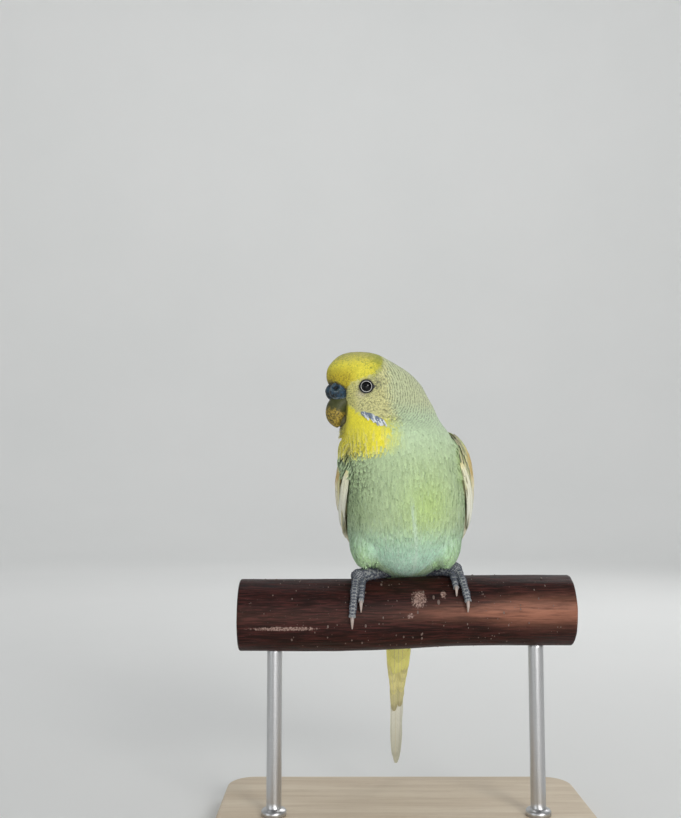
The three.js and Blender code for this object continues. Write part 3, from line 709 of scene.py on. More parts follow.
def plumage_finish():
    """Feathers: a tint from each one, with bars, specks, scallops and the shine of fine barbs."""
    bars, specks, scallops = stored("mark")
    edge, along, _ = stored("vane")
    where = node("TexCoord").outputs["Object"]
    beak = node("VectorMath", {0: where, 1: tuple(put(BEAK_AT))}, operation="DISTANCE")
    phase = times_plus(beak.outputs["Value"], 2 * math.pi / BAR_PITCH, times(noise(420, 2), 9.0))
    wave = times(band(number("SINE", phase), -0.1, 0.8), band(noise(900, 2), 0.34, 0.56))
    fleck = band(noise(1500, 2, roughness=0.7), 0.55, 0.66)
    dark = number("MAXIMUM", times(wave, bars, 0.62), times(fleck, specks, 0.5))
    marked = blend(dark, stored_tint(), (0.13, 0.15, 0.10))
    line = times(band(edge, 0.62, 0.76), band(edge, 0.97, 0.86))
    marked = blend(times(line, scallops, band(along, 0.3, 0.6)), marked, (0.16, 0.15, 0.09))
    _, _, streak = barb_streaks(1.6, -0.45, 4.5, 0.35, 0.6)
    base = shaded(marked, times_plus(streak, 0.62, 0.69))
    return shader_inputs(base, 0.75, bump(streak, 0.08, 0.5), 0.2, sheen_weight=0.15, sheen_roughness=0.5)


PLUMAGE = material("soft_plumage", plumage_finish)


# Skin

def ellipsoid_rings(centre, radii, rings=28, sides=40):
    rise = np.linspace(-math.pi / 2, math.pi / 2, rings)[:, None]
    turn = full_turn(sides)[None]
    points = np.stack([np.cos(rise) * np.cos(turn), np.cos(rise) * np.sin(turn),
                       np.sin(rise) * np.ones_like(turn)], -1)
    return points * np.array(radii) + np.array(centre)


def drawn_in(points):
    """The body's form made narrower between the legs, and resting on the branch."""
    z = points[..., 2]
    share = smooth(BELLY["top"], BELLY["low"], z) * smooth(-2, 8, z)
    narrow = points.copy()
    narrow[..., 0] = mix(points[..., 0], mix(BELLY["x"], points[..., 0], BELLY["narrow"]), share)
    narrow[..., 2] -= 1.1 * smooth(24, 15.2, z) * smooth(8, 13, z) * smooth(12, 2, points[..., 1])
    return narrow


def tapered(points, side):
    """The thigh's form made to taper towards its foot."""
    share = smooth(THIGH_FOOT["top"], THIGH_FOOT["low"], points[..., 2])
    off = points[..., 0] - side * THIGH["x"]
    narrow = points.copy()
    narrow[..., 0] = (side * mix(THIGH["x"], THIGH_FOOT["x"], share)
                      + off * mix(1.0, THIGH_FOOT["narrow"], share))
    return narrow


def flesh_form():
    """The body's loft and both thighs as closed shells in one mesh, to be made one skin."""
    levels = np.linspace(0, len(SECTIONS) - 1.02, 133)
    t, angle = np.meshgrid(levels, full_turn(96), indexing="ij")
    shells = [drawn_in(body_points(t.ravel(), angle.ravel())).reshape(*t.shape, 3)]
    for side in SIDES.values():
        centre = (side * THIGH["x"], THIGH["y"], THIGH["z"])
        thigh = ellipsoid_rings(centre, (THIGH["wide"], THIGH["deep"], THIGH["high"]))
        shells.append(tapered(thigh, side))
    return closed_tubes("flesh", *shells)


def skin_map(points):
    """The skin's own unwrap: round the body's middle line, and up from the tail to the crown."""
    t = section_at(points[:, 2])
    _, x, y, turn, _, _, _ = section_values(t).T
    angle = np.arctan2(points[:, 0] - x, -(points[:, 1] - y)) + np.radians(turn)
    angle = (angle + 2 * math.pi) % (2 * math.pi)
    return np.stack([0.01 + 0.98 * angle / (2 * math.pi), 0.01 + 0.98 * t / (len(SECTIONS) - 1)], 1)


def make_skin():
    """One skin for the head, neck, body and thighs, sunk below the tips of the coat."""
    piece = remeshed("body_skin", flesh_form(), 0.8, 8, PLUMAGE)
    places, normals = vertex_arrays(piece.data)
    sunk = places - normals * coat_depth(places)[:, None]
    move_vertices(piece.data, sunk)
    paint(piece.data, "tint", as_colour(plumage(places, np.random.default_rng(4)) * 0.8))
    paint(piece.data, "mark", markings(places))
    paint_whole(piece.data, "vane", (0.3, 0.3, 0.3))
    paint(piece.data, "place", places)
    unwrap(piece.data, "OFBake", skin_map(sunk))
    return hand_over(piece, FLESH)


class Surface:
    """The skin as something to find the nearest place and smooth normal on."""

    def __init__(self, mesh):
        self.places, self.normals = vertex_arrays(mesh)
        mesh.calc_loop_triangles()
        corners = np.empty(len(mesh.loop_triangles) * 3, np.int32)
        mesh.loop_triangles.foreach_get("vertices", corners)
        self.triangles = corners.reshape(-1, 3)
        self.tree = BVHTree.FromPolygons(self.places.tolist(), self.triangles.tolist())

    def nearest(self, points):
        found = [self.tree.find_nearest(p) for p in points.tolist()]
        places = np.array([f[0] for f in found])
        corners = self.triangles[[f[2] for f in found]]
        weights = 1 / (np.linalg.norm(self.places[corners] - places[:, None], axis=2) + 0.05)
        normals = unit((self.normals[corners] * weights[..., None]).sum(1))
        return places, normals


# Feathers of the coat

def vane_outline(along):
    """The half width of a feather, as a share of its widest, from its root to its tip."""
    return 0.10 + 0.90 * np.sin(math.pi * np.clip(along, 0, 1) ** 0.8) ** 0.8


def vane_template(teeth, notch, spine):
    """A thin closed feather with barbed edges: its vertices' places and its triangles.

    Each vertex has its place along the shaft, its place across as a share of the half width, its
    side of the vane (1 above, -1 below, 0 on the rim) and its closeness to the edge.
    """
    vertices, faces = [(0.0, 0.0, 0, 1.0), (1.0, 0.0, 0, 1.0)], []
    spots = np.linspace(0.2, 0.9, spine)
    shaft = {}
    for layer in (1, -1):
        shaft[layer] = [0]
        for s in spots:
            shaft[layer].append(len(vertices))
            vertices.append((s, 0.0, layer, 0.0))
        shaft[layer].append(1)
    for side in (1, -1):
        rim = [0]
        for tooth in range(teeth):
            s = mix(0.1, 0.93, (tooth + 0.5) / teeth)
            step = 0.83 / teeth
            rim.append(len(vertices))
            vertices.append((s + 0.45 * step, side * vane_outline(s), 0, 1.0))
            rim.append(len(vertices))
            inset = vane_outline(s + 0.2 * step) * (1 - notch)
            vertices.append((min(s + 0.35 * step, 0.97), side * inset, 0, 0.8))
        rim = rim[:-1] + [1]
        for layer in (1, -1):
            faces += strip_between(shaft[layer], rim, vertices, side * layer)
    return np.array(vertices), np.array(faces)


def strip_between(shaft, rim, vertices, way):
    """Triangles between the shaft and the rim, taking whichever side lags behind."""
    faces, i, j = [], 0, 0
    while i < len(shaft) - 1 or j < len(rim) - 1:
        on_shaft = vertices[shaft[min(i + 1, len(shaft) - 1)]][0]
        on_rim = vertices[rim[min(j + 1, len(rim) - 1)]][0]
        if j == len(rim) - 1 or (i < len(shaft) - 1 and on_shaft <= on_rim):
            face = (shaft[i], rim[j], shaft[i + 1])
            i += 1
        else:
            face = (shaft[i], rim[j], rim[j + 1])
            j += 1
        if len(set(face)) == 3:
            faces.append(face if way > 0 else face[::-1])
    return faces


def roots_over_body(spacing, rng):
    """Places over the body's form, a step apart in rows, with each row set half a step on."""
    angles = np.linspace(0, 2 * math.pi, 361)
    rows, t, odd = [], 0.05, 0
    while t < len(SECTIONS) - 1.03:
        ring = body_points(np.full(361, t), angles)
        ahead = body_points(np.full(361, t + 0.01), angles)
        rate = np.linalg.norm(ahead - ring, axis=1).max() / 0.01
        length = lengths_along(ring)
        count = max(3, round(length[-1] / (0.76 * spacing)))
        spots = (np.arange(count) + 0.5 * odd + rng.normal(0, 0.2, count)) % count
        angle = np.interp(spots / count * length[-1], length, angles)
        shake = rng.normal(0, 0.4, count) * spacing / rate
        rows.append(body_points(np.clip(t + shake, 0, len(SECTIONS) - 1.01), angle))
        t += 1.2 * spacing / rate
        odd = 1 - odd
    return np.concatenate(rows)


def mottled(points):
    """1 where the breast's right side is darker under the pale tips of its feathers."""
    z = points[:, 2]
    return smooth(-22, -52, body_angle(points)) * smooth(44, 50, z) * smooth(68, 61, z)


def feather_spacing(points):
    return 0.13 + 0.165 * feather_length(points) + 0.17 * freckled(points)


SPACING_CLASSES = [0.33, 0.42, 0.54, 0.70, 0.90, 1.16]


def coat_roots(rng):
    """Roots all over the body, set closer where the feathers are shorter."""
    found = []
    limits = [0] + [math.sqrt(a * b) for a, b in zip(SPACING_CLASSES, SPACING_CLASSES[1:])] + [9]
    for spacing, low, high in zip(SPACING_CLASSES, limits, limits[1:]):
        points = roots_over_body(spacing, rng)
        wanted = feather_spacing(points)
        found.append(points[(wanted >= low) & (wanted < high)])
    points = np.concatenate(found)
    reach, _ = from_eye(points)
    return points[(reach > 2.72) & (from_beak(points) > -0.2)]


def run_along(surface, roots, lengths, stations, swerve):
    """Each feather's path over the skin from its root: places and normals at each station."""
    places, normals = surface.nearest(roots)
    all_places, all_normals = [places], [normals]
    turned = np.cos(swerve)[:, None], np.sin(swerve)[:, None]
    for _ in range(stations - 1):
        way = lie(places, normals)
        way = turned[0] * way + turned[1] * np.cross(normals, way)
        step = lengths[:, None] / (stations - 1)
        places, normals = surface.nearest(places + way * step)
        all_places.append(places)
        all_normals.append(normals)
    return np.stack(all_places, 1), np.stack(all_normals, 1)


def station_weights(along, stations):
    """How much each station counts for a vertex at its place along the feather."""
    spot = np.clip(along, 0, 1) * (stations - 1)
    first = np.minimum(np.floor(spot).astype(int), stations - 2)
    weights = np.zeros((len(along), stations))
    weights[np.arange(len(along)), first] = 1 - (spot - first)
    weights[np.arange(len(along)), first + 1] = spot - first
    return weights


def coat_rise(along):
    """How high a feather stands over the skin along its length, as a share of the coat's depth."""
    return 0.15 + 0.77 * smooth(-0.3, 0.55, along) + 0.08 * along


def grow_feathers(name, spines, normals, half, template, rng, depth=0.0, tilt=0.0, roll=0.10,
                  fray=0.0, camber=0.22, thick=0.05, ruffle=0.03):
    """A mesh of feathers along the spines, with each vertex's own place in its feather."""
    vertices, faces = template
    along, across_share, layer, closeness = vertices.T
    count, stations = spines.shape[:2]
    shape = (count, len(vertices))
    on_rim = layer == 0
    weights = station_weights(along, stations)
    middle, ahead, out = (np.einsum("vk,nkc->nvc", weights, values)
                          for values in (spines, unit(np.gradient(spines, axis=1)), normals))
    out = unit(out)
    across = unit(np.cross(unit(ahead), out))
    roll = tilt + rng.normal(0, roll, (count, 1, 1))
    across, out = across + roll * out, out - roll * across
    frayed = 1 - fray * (rng.random(shape) < 0.16) * on_rim
    width = across_share * half[:, None] * frayed
    rise = coat_rise(along)[None, :] * np.reshape(depth, (-1, 1))
    hollow = camber * across_share ** 2 * half[:, None]
    body = thick * layer * np.sqrt(half)[:, None]
    ruffled = rng.normal(0, ruffle, shape) * on_rim * (along > 0.1)
    height = (rise - hollow + body + ruffled)[..., None]
    points = middle + across * width[..., None] + out * height
    offsets = np.arange(count)[:, None, None] * len(vertices)
    mesh = mesh_from(name, points.reshape(-1, 3), (faces[None] + offsets).reshape(-1, 3))
    crease_rims(mesh, len(vertices), on_rim)
    draw = np.broadcast_to(rng.uniform(0, 1, count)[:, None], shape)
    reach = along * np.linalg.norm(np.diff(spines, axis=1), axis=2).sum(1)[:, None]
    paint(mesh, "vane", np.stack([closeness + 0 * draw, along + 0 * draw, draw], -1))
    paint(mesh, "place", np.stack([width, reach, draw * 60], -1))
    return mesh


SMALL_VANE = vane_template(teeth=3, notch=0.35, spine=2)
BODY_VANE = vane_template(teeth=5, notch=0.32, spine=3)


def coat_region(points):
    """The name of the piece of the coat that each root belongs to."""
    ahead, _, up = head_places(points)
    z = points[:, 2]
    behind = np.abs(body_angle(points)) > 95
    region = np.full(len(points), "coat_breast", dtype=object)
    region[z < 38] = "coat_belly"
    region[behind & (z < 66)] = "coat_back"
    region[behind & (z < 34)] = "coat_rump"
    region[z > 66] = "coat_neck"
    region[behind & (z > 66)] = "coat_mantle"
    region[z > 77.2] = "coat_nape"
    region[(z > 79) & (ahead > -5)] = "coat_cheeks"
    region[(z > 79) & (up > crown_edge(ahead) - 1) & (ahead > -4)] = "coat_crown"
    region[(z > 76) & (ahead > 8.5)] = "coat_face"
    for side in SIDES.values():
        middle = np.array([side * THIGH["x"], THIGH["y"], THIGH["z"]])
        size = np.array([THIGH["wide"], THIGH["deep"], THIGH["high"]]) + 1
        inside = (((points - middle) / size) ** 2).sum(1) < 1
        region[inside & (z < 31)] = "coat_thighs"
    return region


COAT_NODES = {
    "coat_breast": ["torso"], "coat_belly": ["torso"], "coat_back": ["torso"],
    "coat_rump": ["torso"], "coat_neck": ["neck"], "coat_mantle": ["neck"],
    "coat_nape": ["head", "neck"],
    "coat_cheeks": ["head"], "coat_crown": ["head"], "coat_face": ["head"],
    "coat_thighs": ["thigh_left", "thigh_right"],
}


# How many of its feathers a piece keeps where they are large and lie out of sight
THINNED = {"coat_rump": 0.42, "coat_back": 0.6, "coat_mantle": 0.6}


def scaly(along):
    """The shade along a feather whose dark middle shows below a pale tip."""
    return 0.36 + 0.94 * smooth(0.5, 0.9, along)


def coat_piece(name, roots, surface, rng):
    """One piece of the coat, of feathers that root in the skin and reach the outer form."""
    roots = roots[rng.random(len(roots)) < THINNED.get(name, 1.0)]
    roots_on_skin, _ = surface.nearest(roots)
    lengths = feather_length(roots) * rng.uniform(0.85, 1.15, len(roots))
    swerve = rng.normal(0, 0.12, len(roots))
    spines, normals = run_along(surface, roots_on_skin, lengths, 5, swerve)
    reach, _ = from_eye(spines[:, -1])
    spines, normals = spines[reach > 2.85], normals[reach > 2.85]
    count = len(spines)
    shown = spines[:, 3] + normals[:, 3]
    half = (1.6 if name in THINNED else 0.95) * feather_spacing(shown)
    half = half * rng.uniform(0.85, 1.15, count)
    template = SMALL_VANE if name in ("coat_face", "coat_crown", "coat_cheeks") else BODY_VANE
    depth = coat_depth(shown) * rng.uniform(0.96, 1.04, count)
    mesh = grow_feathers(name, spines, normals, half, template, rng, depth, camber=0.12,
                         thick=0.04, ruffle=0.02, roll=0.06)
    along, edge = template[0][:, 0], template[0][:, 3]
    shade = (0.86 + 0.17 * along - 0.05 * (edge == 0.8) + 0.03 * (edge == 1.0))[None]
    shade = mix(shade, (0.46 + 0.68 * smooth(0.42, 0.90, along))[None], freckled(shown)[:, None])
    shade = mix(shade, scaly(along)[None], 0.95 * mottled(shown)[:, None])
    tint = plumage(shown, rng)[:, None] * shade[..., None]
    finish_feathers(mesh, tint, markings(shown), spines, template, COAT_NODES[name])


# The line that the cheek patches root on: places ahead, left and up of the head's middle
CHEEK_LINE = [(8.3, 11.2, -10.0), (6.0, 14.0, -10.6), (3.4, 18.0, -12.6)]
CHEEK_TONES = [{"v": PATCH_VIOLET, "w": PATCH_WHITE}[tone] for tone in "vwvwvvwwvwvwvw"]


def make_cheek_patches(surface, rng):
    """The long pale and violet feathers that slant over each cheek's lower edge."""
    count = len(CHEEK_TONES)
    share = np.linspace(0, 2, count)
    spots = rows_at(share, range(3), CHEEK_LINE)
    half = np.interp(share, range(3), [0.74, 0.86, 0.68])
    along = BODY_VANE[0][:, 0]
    for side_name, side in SIDES.items():
        roots, _ = surface.nearest(head_point(spots[:, 0], side * spots[:, 1], spots[:, 2]))
        lengths = np.interp(share, range(3), [5.0, 7.0, 5.2]) * rng.uniform(0.85, 1.15, count)
        swerve = side * (0.42 + rng.normal(0, 0.06, count))
        spines, normals = run_along(surface, roots, lengths, 6, swerve)
        mesh = grow_feathers(f"cheek_patch_{side_name}", spines, normals, half, BODY_VANE, rng,
                             coat_depth(roots) + 0.55, camber=0.18, roll=0.12)
        tint = np.array(CHEEK_TONES)[:, None] * np.ones((1, len(along), 1))
        tint = mix(tint, np.array(PATCH_WHITE), 0.5 * smooth(0.75, 1.0, along)[None, :, None])
        finish_feathers(mesh, tint, np.zeros((count, 3)), spines, BODY_VANE, ["head"])


def finish_feathers(mesh, tint, marks, spines, template, nodes):
    """Stores the colours, the marks and the flat patches of small feathers, and hands them over."""
    paint(mesh, "tint", as_colour(tint.reshape(-1, 3)))
    paint(mesh, "mark", np.repeat(marks, len(template[0]), axis=0))
    patch = np.stack([template[0][:, 1], template[0][:, 0] - 0.5], 1) * 0.0015
    uv = skin_map(spines[:, 0])[:, None] + patch[None]
    unwrap(mesh, "OFBake", uv.reshape(-1, 2))
    finished(mesh, PLUMAGE, nodes)


def loose_piece(name, nodes, roots, way, lengths, half, pale, surface, rng):
    """A piece of loose feathers that leave the coat, each with its own way, length and paleness."""
    places, facing = surface.nearest(roots)
    s = np.linspace(0, 1, 6)[None, :, None]
    flat = unit(way - dot(way, facing)[:, None] * facing)
    bent = mix(flat[:, None], way[:, None], smooth(0.2, 1.0, s))
    spines = places[:, None] + bent * lengths[:, None, None] * s
    normals = np.repeat(facing[:, None], 6, axis=1)
    grow_loose(name, nodes, spines, normals, half, pale, rng)


def grow_loose(name, nodes, spines, normals, half, pale, rng):
    """Loose feathers in the coat's colours, with paler tips, or darker where pale is below 0."""
    roots = spines[:, 0]
    mesh = grow_feathers(name, spines, normals, half, SMALL_VANE, rng, coat_depth(roots) + 0.1,
                         camber=0.12, thick=0.04)
    along = SMALL_VANE[0][:, 0]
    shade = mix((0.86 + 0.18 * along)[None], scaly(along)[None], mottled(roots)[:, None])
    tint = plumage(spines[:, 3], rng)[:, None] * shade[..., None]
    tint = tint * (1 + 0.5 * np.minimum(pale, 0))[:, None, None]
    pale = np.maximum(pale, 0)[:, None, None]
    tint = mix(tint, np.array(WISP), smooth(0.2, 0.9, along)[None, :, None] * pale)
    finish_feathers(mesh, tint, np.zeros((len(roots), 3)), spines, SMALL_VANE, nodes)


def make_fringes(surface, rng):
    """Loose feathers at the foot of each thigh and under the chin."""
    for side_name, side in SIDES.items():
        count = 260
        turn = rng.uniform(0, 2 * math.pi, count)
        low = rng.uniform(0.45, 0.97, count)
        flat = np.sqrt(1 - low ** 2)
        roots = np.stack([side * THIGH["x"] + THIGH["wide"] * flat * np.sin(turn),
                          THIGH["y"] - THIGH["deep"] * flat * np.cos(turn),
                          THIGH["z"] - THIGH["high"] * low], -1)
        roots = tapered(roots, side)
        way = unit(np.array([side * 16.0, -5.5, 12.0]) - roots)
        loose_piece(f"fringe_thigh_{side_name}", ["thigh_" + side_name], roots, way,
                    rng.uniform(0.4, 0.9, count), rng.uniform(0.16, 0.3, count),
                    rng.uniform(-0.3, 0.4, count), surface, rng)
    count = 110
    roots = head_point(rng.uniform(7.5, 11.5, count), rng.uniform(-4, 4, count),
                       rng.uniform(-18.5, -14, count))
    way = unit(0.7 * HEAD_FORWARD + np.array([0, 0, -1.0]) + rng.normal(0, 0.14, (count, 3)))
    loose_piece("fringe_chin", ["head"], roots, way, rng.uniform(1.6, 3.4, count),
                rng.uniform(0.12, 0.26, count), rng.uniform(0, 0.25, count), surface, rng)


def make_wisps(surface, rng):
    """Fine strands, pale and dark, over the breast, the flanks and the belly."""
    count = 9000
    z = rng.uniform(17, 72, count)
    turn = rng.uniform(-84, 84, count)
    wanted = np.clip(0.22 + 0.8 * smooth(50, 24, z) + 0.4 * smooth(40, 70, np.abs(turn)), 0, 1)
    kept = (rng.random(count) < wanted) & ((z < 60) | (turn > 0))
    roots, _ = surface.nearest(drawn_in(body_points(section_at(z), np.radians(turn)))[kept])
    count = len(roots)
    low = smooth(52, 24, roots[:, 2])
    spines, normals = run_along(surface, roots, rng.uniform(3.5, 7.5, count), 6,
                                rng.normal(0, 0.16, count))
    pale = np.where(rng.random(count) < 0.6, rng.uniform(0.1 + 0.25 * low, 0.35 + 0.65 * low, count),
                    rng.uniform(-0.2 - 0.5 * low, -0.1, count))
    half = rng.uniform(0.07, 0.13 + 0.09 * low, count)
    grow_loose("coat_wisps", ["torso"], spines, normals, half, pale, rng)


def make_parting(surface, rng):
    """A line of pale strands where the feathers of the two sides meet."""
    count = 260
    roots = body_points(section_at(rng.uniform(14, 46, count)), np.zeros(count))
    roots[:, 0] = parting_line(roots[:, 2])
    roots, _ = surface.nearest(roots + rng.normal(0, 0.22, (count, 3)))
    spines, normals = run_along(surface, roots, rng.uniform(2.5, 5.0, count), 6, np.full(count, 0.06))
    grow_loose("coat_parting", ["torso"], spines, normals, rng.uniform(0.10, 0.20, count),
               rng.uniform(0.1, 0.5, count), rng)


def make_coat(skin):
    surface = Surface(skin.data)
    rng = np.random.default_rng(11)
    roots = coat_roots(rng)
    regions = coat_region(roots)
    for name in COAT_NODES:
        coat_piece(name, roots[regions == name], surface, rng)
    make_cheek_patches(surface, rng)
    make_fringes(surface, rng)
    make_wisps(surface, rng)
    make_parting(surface, rng)


# Large feathers

def blade_outline(along):
    stops = [0, 0.1, 0.35, 0.7, 0.82, 0.9, 0.95, 0.98, 1]
    widths = [0.35, 0.6, 0.9, 1.0, 0.97, 0.85, 0.66, 0.45, 0.2]
    return np.interp(along, stops, widths)


def blade_template(rows, columns):
    """A closed blade with a raised shaft, as rows of places along it and columns across it."""
    across = np.array(columns)
    vertices, index = [], {}
    for i, along in enumerate(rows):
        for j, side in enumerate(across):
            rim = i in (0, len(rows) - 1) or j in (0, len(across) - 1)
            edge = max(abs(side), smooth(0.86, 1.0, along))
            body = 0.35 * (1 - abs(side) ** 3) + 1.6 * math.exp(-(side / 0.05) ** 2) * (1 - 0.7 * along)
            for layer in ((0,) if rim else (1, -1)):
                index[i, j, layer] = len(vertices)
                vertices.append((along, side * blade_outline(along), layer * body, edge))
    faces = []
    for layer in (1, -1):
        at = [[index.get((i, j, 0), index.get((i, j, layer))) for j in range(len(across))]
              for i in range(len(rows))]
        for i in range(len(rows) - 1):
            for j in range(len(across) - 1):
                a, b, c, d = at[i][j], at[i][j + 1], at[i + 1][j + 1], at[i + 1][j]
                for face in ((a, b, c), (a, c, d)):
                    faces.append(face if layer > 0 else face[::-1])
    return np.array(vertices), np.array(faces)


BLADE_ROWS = [0, 0.08, 0.17, 0.27, 0.37, 0.47, 0.57, 0.66, 0.74, 0.81, 0.87, 0.92, 0.955, 0.98, 1]
BLADE_COLUMNS = [-1, -0.8, -0.5, -0.2, -0.06, 0, 0.06, 0.2, 0.5, 0.8, 1]
FLIGHT_BLADE = blade_template(BLADE_ROWS, BLADE_COLUMNS)
COVERT_BLADE = blade_template(BLADE_ROWS[::2], BLADE_COLUMNS)
WING_CREAM = (0.90, 0.88, 0.64)
WING_YELLOW = (0.86, 0.78, 0.38)
WING_OLIVE = (0.60, 0.66, 0.32)
WING_BROWN = (0.22, 0.20, 0.14)


def vane_finish():
    """Large feathers: a tint along each one, fine slanting barbs, a pale shaft and a dark edge."""
    line = stored("mark")[2]
    edge, along, _ = stored("vane")
    outward, slant, cloud = barb_streaks(0.85, -0.55, 5.0, 0.5, 0.5)
    barbs = number("SINE", times(slant, 34.0))
    toned = shaded(stored_tint(), times_plus(cloud, 0.4, 0.80))
    rim = times(band(edge, 0.60, 0.78), band(edge, 1.0, 0.86))
    rim = times(rim, line, band(along, 0.1, 0.5))
    marked = blend(times(rim, 0.85), toned, WING_BROWN)
    shaft = times(band(outward, 0.16, 0.06), 0.55)
    return shader_inputs(blend(shaft, marked, (0.62, 0.55, 0.38)), 0.55, bump(barbs, 0.03, 0.5), 0.35,
                         sheen_weight=0.12, sheen_roughness=0.4)


VANES = material("flight_feathers", vane_finish)


def large_feathers(name, spines, normals, half, template, rng, stops, line, tilt=0.0, thick=0.11,
                   pale_rim=0.0):
    """A piece of large feathers, from each one's stops of colour and how dark its edge line is."""
    mesh = grow_feathers(name, spines, normals, half, template, rng, tilt=tilt, roll=0.02,
                         fray=0.12, camber=0.10, thick=thick, ruffle=0.015)
    along, _, _, edge = template[0].T
    tints = np.stack([rows_at(along, *zip(*feather)) for feather in stops])
    tints = mix(tints, np.array(WING_CREAM), (smooth(0.5, 1.0, edge) * pale_rim)[:, None])
    tints = tints * (1 + 0.03 * rng.normal(0, 1, (len(spines), 1, 1)))
    paint(mesh, "tint", as_colour(tints.reshape(-1, 3)))
    paint_whole(mesh, "mark", (0, 0, line))
    return new_piece(mesh, VANES)


# Wings: tiers of feathers hang from a pad. Places on the wing are a height above the branch's axis,
# an angle round the body from its front, and a lift off the body. Each is given at a feather's root,
# bend and tip, and in a tier for its first feather and its last

SHRUG = {
    "left": {"root": -0.6, "tip": 0, "lift": 0.78, "back": 0},
    "right": {"root": -8, "tip": -2, "lift": 0.8, "back": 14},
}
# How far off the body the wing may stand on the bird's right, where the breast covers its shoulder
TUCK = {"z": [48, 52, 57, 60, 63, 67, 72], "lift": [9, 3.7, 2.4, 1.4, 0.3, -0.3, -0.8]}
WING_PAD = {"top": 73, "bottom": 44, "middle": 107, "spread": 38, "edge": -0.6, "crest": 4.4}
WING_TILT = math.radians(7.2)
TIERS = [
    {
        "name": "primaries", "count": 9, "half": 2.7, "line": 0.2, "blade": FLIGHT_BLADE,
        "z": ((58, 58), (28, 33), (-7, 12)),
        "angle": ((88, 100), (110, 128), (150, 160)),
        "lift": ((1.2, 1.5), (1.7, 2.1), (1.5, 1.8)),
        "tints": [(0, WING_CREAM), (0.8, WING_CREAM), (1, (0.72, 0.66, 0.48))],
    },
    {
        "name": "secondaries", "count": 9, "half": 3.2, "line": 0.2, "blade": FLIGHT_BLADE,
        "z": ((58, 58), (38, 40), (14, 24)),
        "angle": ((96, 134), (108, 146), (144, 165)),
        "lift": ((1.8, 1.8), (3, 3.1), (2.5, 2.7)),
        "tints": [(0, WING_CREAM), (0.8, WING_CREAM), (1, (0.74, 0.68, 0.44))],
    },
    {
        "name": "greater_coverts", "count": 10, "half": 2.6, "line": 0.55, "blade": COVERT_BLADE,
        "z": ((60, 60), (50, 50), (33, 37)),
        "angle": ((84, 132), (88, 142), (97, 150)),
        "lift": ((2, 2), (4.2, 4), (2.5, 3)),
        "tints": [(0, WING_OLIVE), (0.55, WING_YELLOW), (1, WING_CREAM)],
    },
    {
        "name": "median_coverts", "count": 10, "half": 2.4, "line": 0.55, "blade": COVERT_BLADE,
        "z": ((66, 66), (58, 58), (44, 48)),
        "angle": ((84, 130), (86, 134), (91, 143)),
        "lift": ((2.4, 2.2), (5.2, 4.7), (4.2, 4.2)),
        "tints": [(0, WING_OLIVE), (0.6, WING_YELLOW), (1, WING_CREAM)],
    },
]
WING_STATIONS = 14
LESSER_TINTS = [(0, WING_OLIVE), (0.6, WING_OLIVE), (0.8, WING_YELLOW), (1, WING_CREAM)]


def over_body(side, z, angle, lift, over=0.0):
    """Points over the body's surface, and the ways that the surface faces there."""
    z, angle, lift = np.broadcast_arrays(*(np.asarray(value, float) for value in (z, angle, lift)))
    shape = (*z.shape, 3)
    z, angle, lift = z.ravel(), angle.ravel(), lift.ravel()
    if side < 0:
        lift = np.minimum(lift, np.interp(z, TUCK["z"], TUCK["lift"]) + over)
    t = section_at(z)
    turned = side * np.radians(angle) + np.radians(section_values(t)[:, 3])
    normals = body_normals(t, turned)
    points = body_points(t, turned) + normals * lift[:, None]
    return points.reshape(shape), normals.reshape(shape)


def tier_paths(side, shrug, tier):
    """The paths of one tier's feathers: places and normals at each station."""
    weights = bezier_weights(np.linspace(0, 1, WING_STATIONS)[None])
    share = np.linspace(0, 1, tier["count"])[:, None]

    def along(key, offsets=(0, 0, 0)):
        return sum(weight * (mix(first, last, share) + offset)
                   for weight, (first, last), offset in zip(weights, tier[key], offsets))

    z = along("z", (shrug["root"], (shrug["root"] + shrug["tip"]) / 2, shrug["tip"]))
    return over_body(side, z, along("angle"), along("lift") * shrug["lift"])


def pad_places(side, shrug, u, v, rise=0.0):
    """Places on the wing's pad, u down from its top and v from its front edge to its rear."""
    def swell(share):
        return np.sqrt(np.clip(1 - 0.96 * (2 * share - 1) ** 2, 0, 1))

    z = mix(WING_PAD["top"], WING_PAD["bottom"], u) + shrug["root"]
    angle = WING_PAD["middle"] + shrug["back"] + WING_PAD["spread"] * swell(u) ** 0.7 * (2 * v - 1)
    lift = mix(WING_PAD["edge"], WING_PAD["crest"], swell(u) * swell(v)) * shrug["lift"] + rise
    return over_body(side, z, angle, lift)


def wing_pad(name, side, shrug):
    """The closed form under the small feathers of the shoulder."""
    u, v = np.linspace(0, 1, 15)[:, None], np.linspace(0, 1, 13)[None]
    outer, _ = pad_places(side, shrug, u, v)
    z = mix(WING_PAD["top"], WING_PAD["bottom"], u) + shrug["root"]
    turned = WING_PAD["middle"] + shrug["back"] + 0.94 * WING_PAD["spread"] * (2 * v - 1)
    inner, _ = over_body(side, z, turned, -1.4)
    rings = np.concatenate([outer, inner[:, ::-1]], 1)
    mesh = closed_tubes(name, rings[:, ::-side][::-1])
    mesh.update()
    paint_whole(mesh, "tint", (*WING_OLIVE, 1.0))
    paint_whole(mesh, "mark", (0, 0, 0))
    paint_whole(mesh, "vane", (0.3, 0.3, 0.3))
    paint_whole(mesh, "place", (0, 0, 0))
    return new_piece(mesh, VANES)


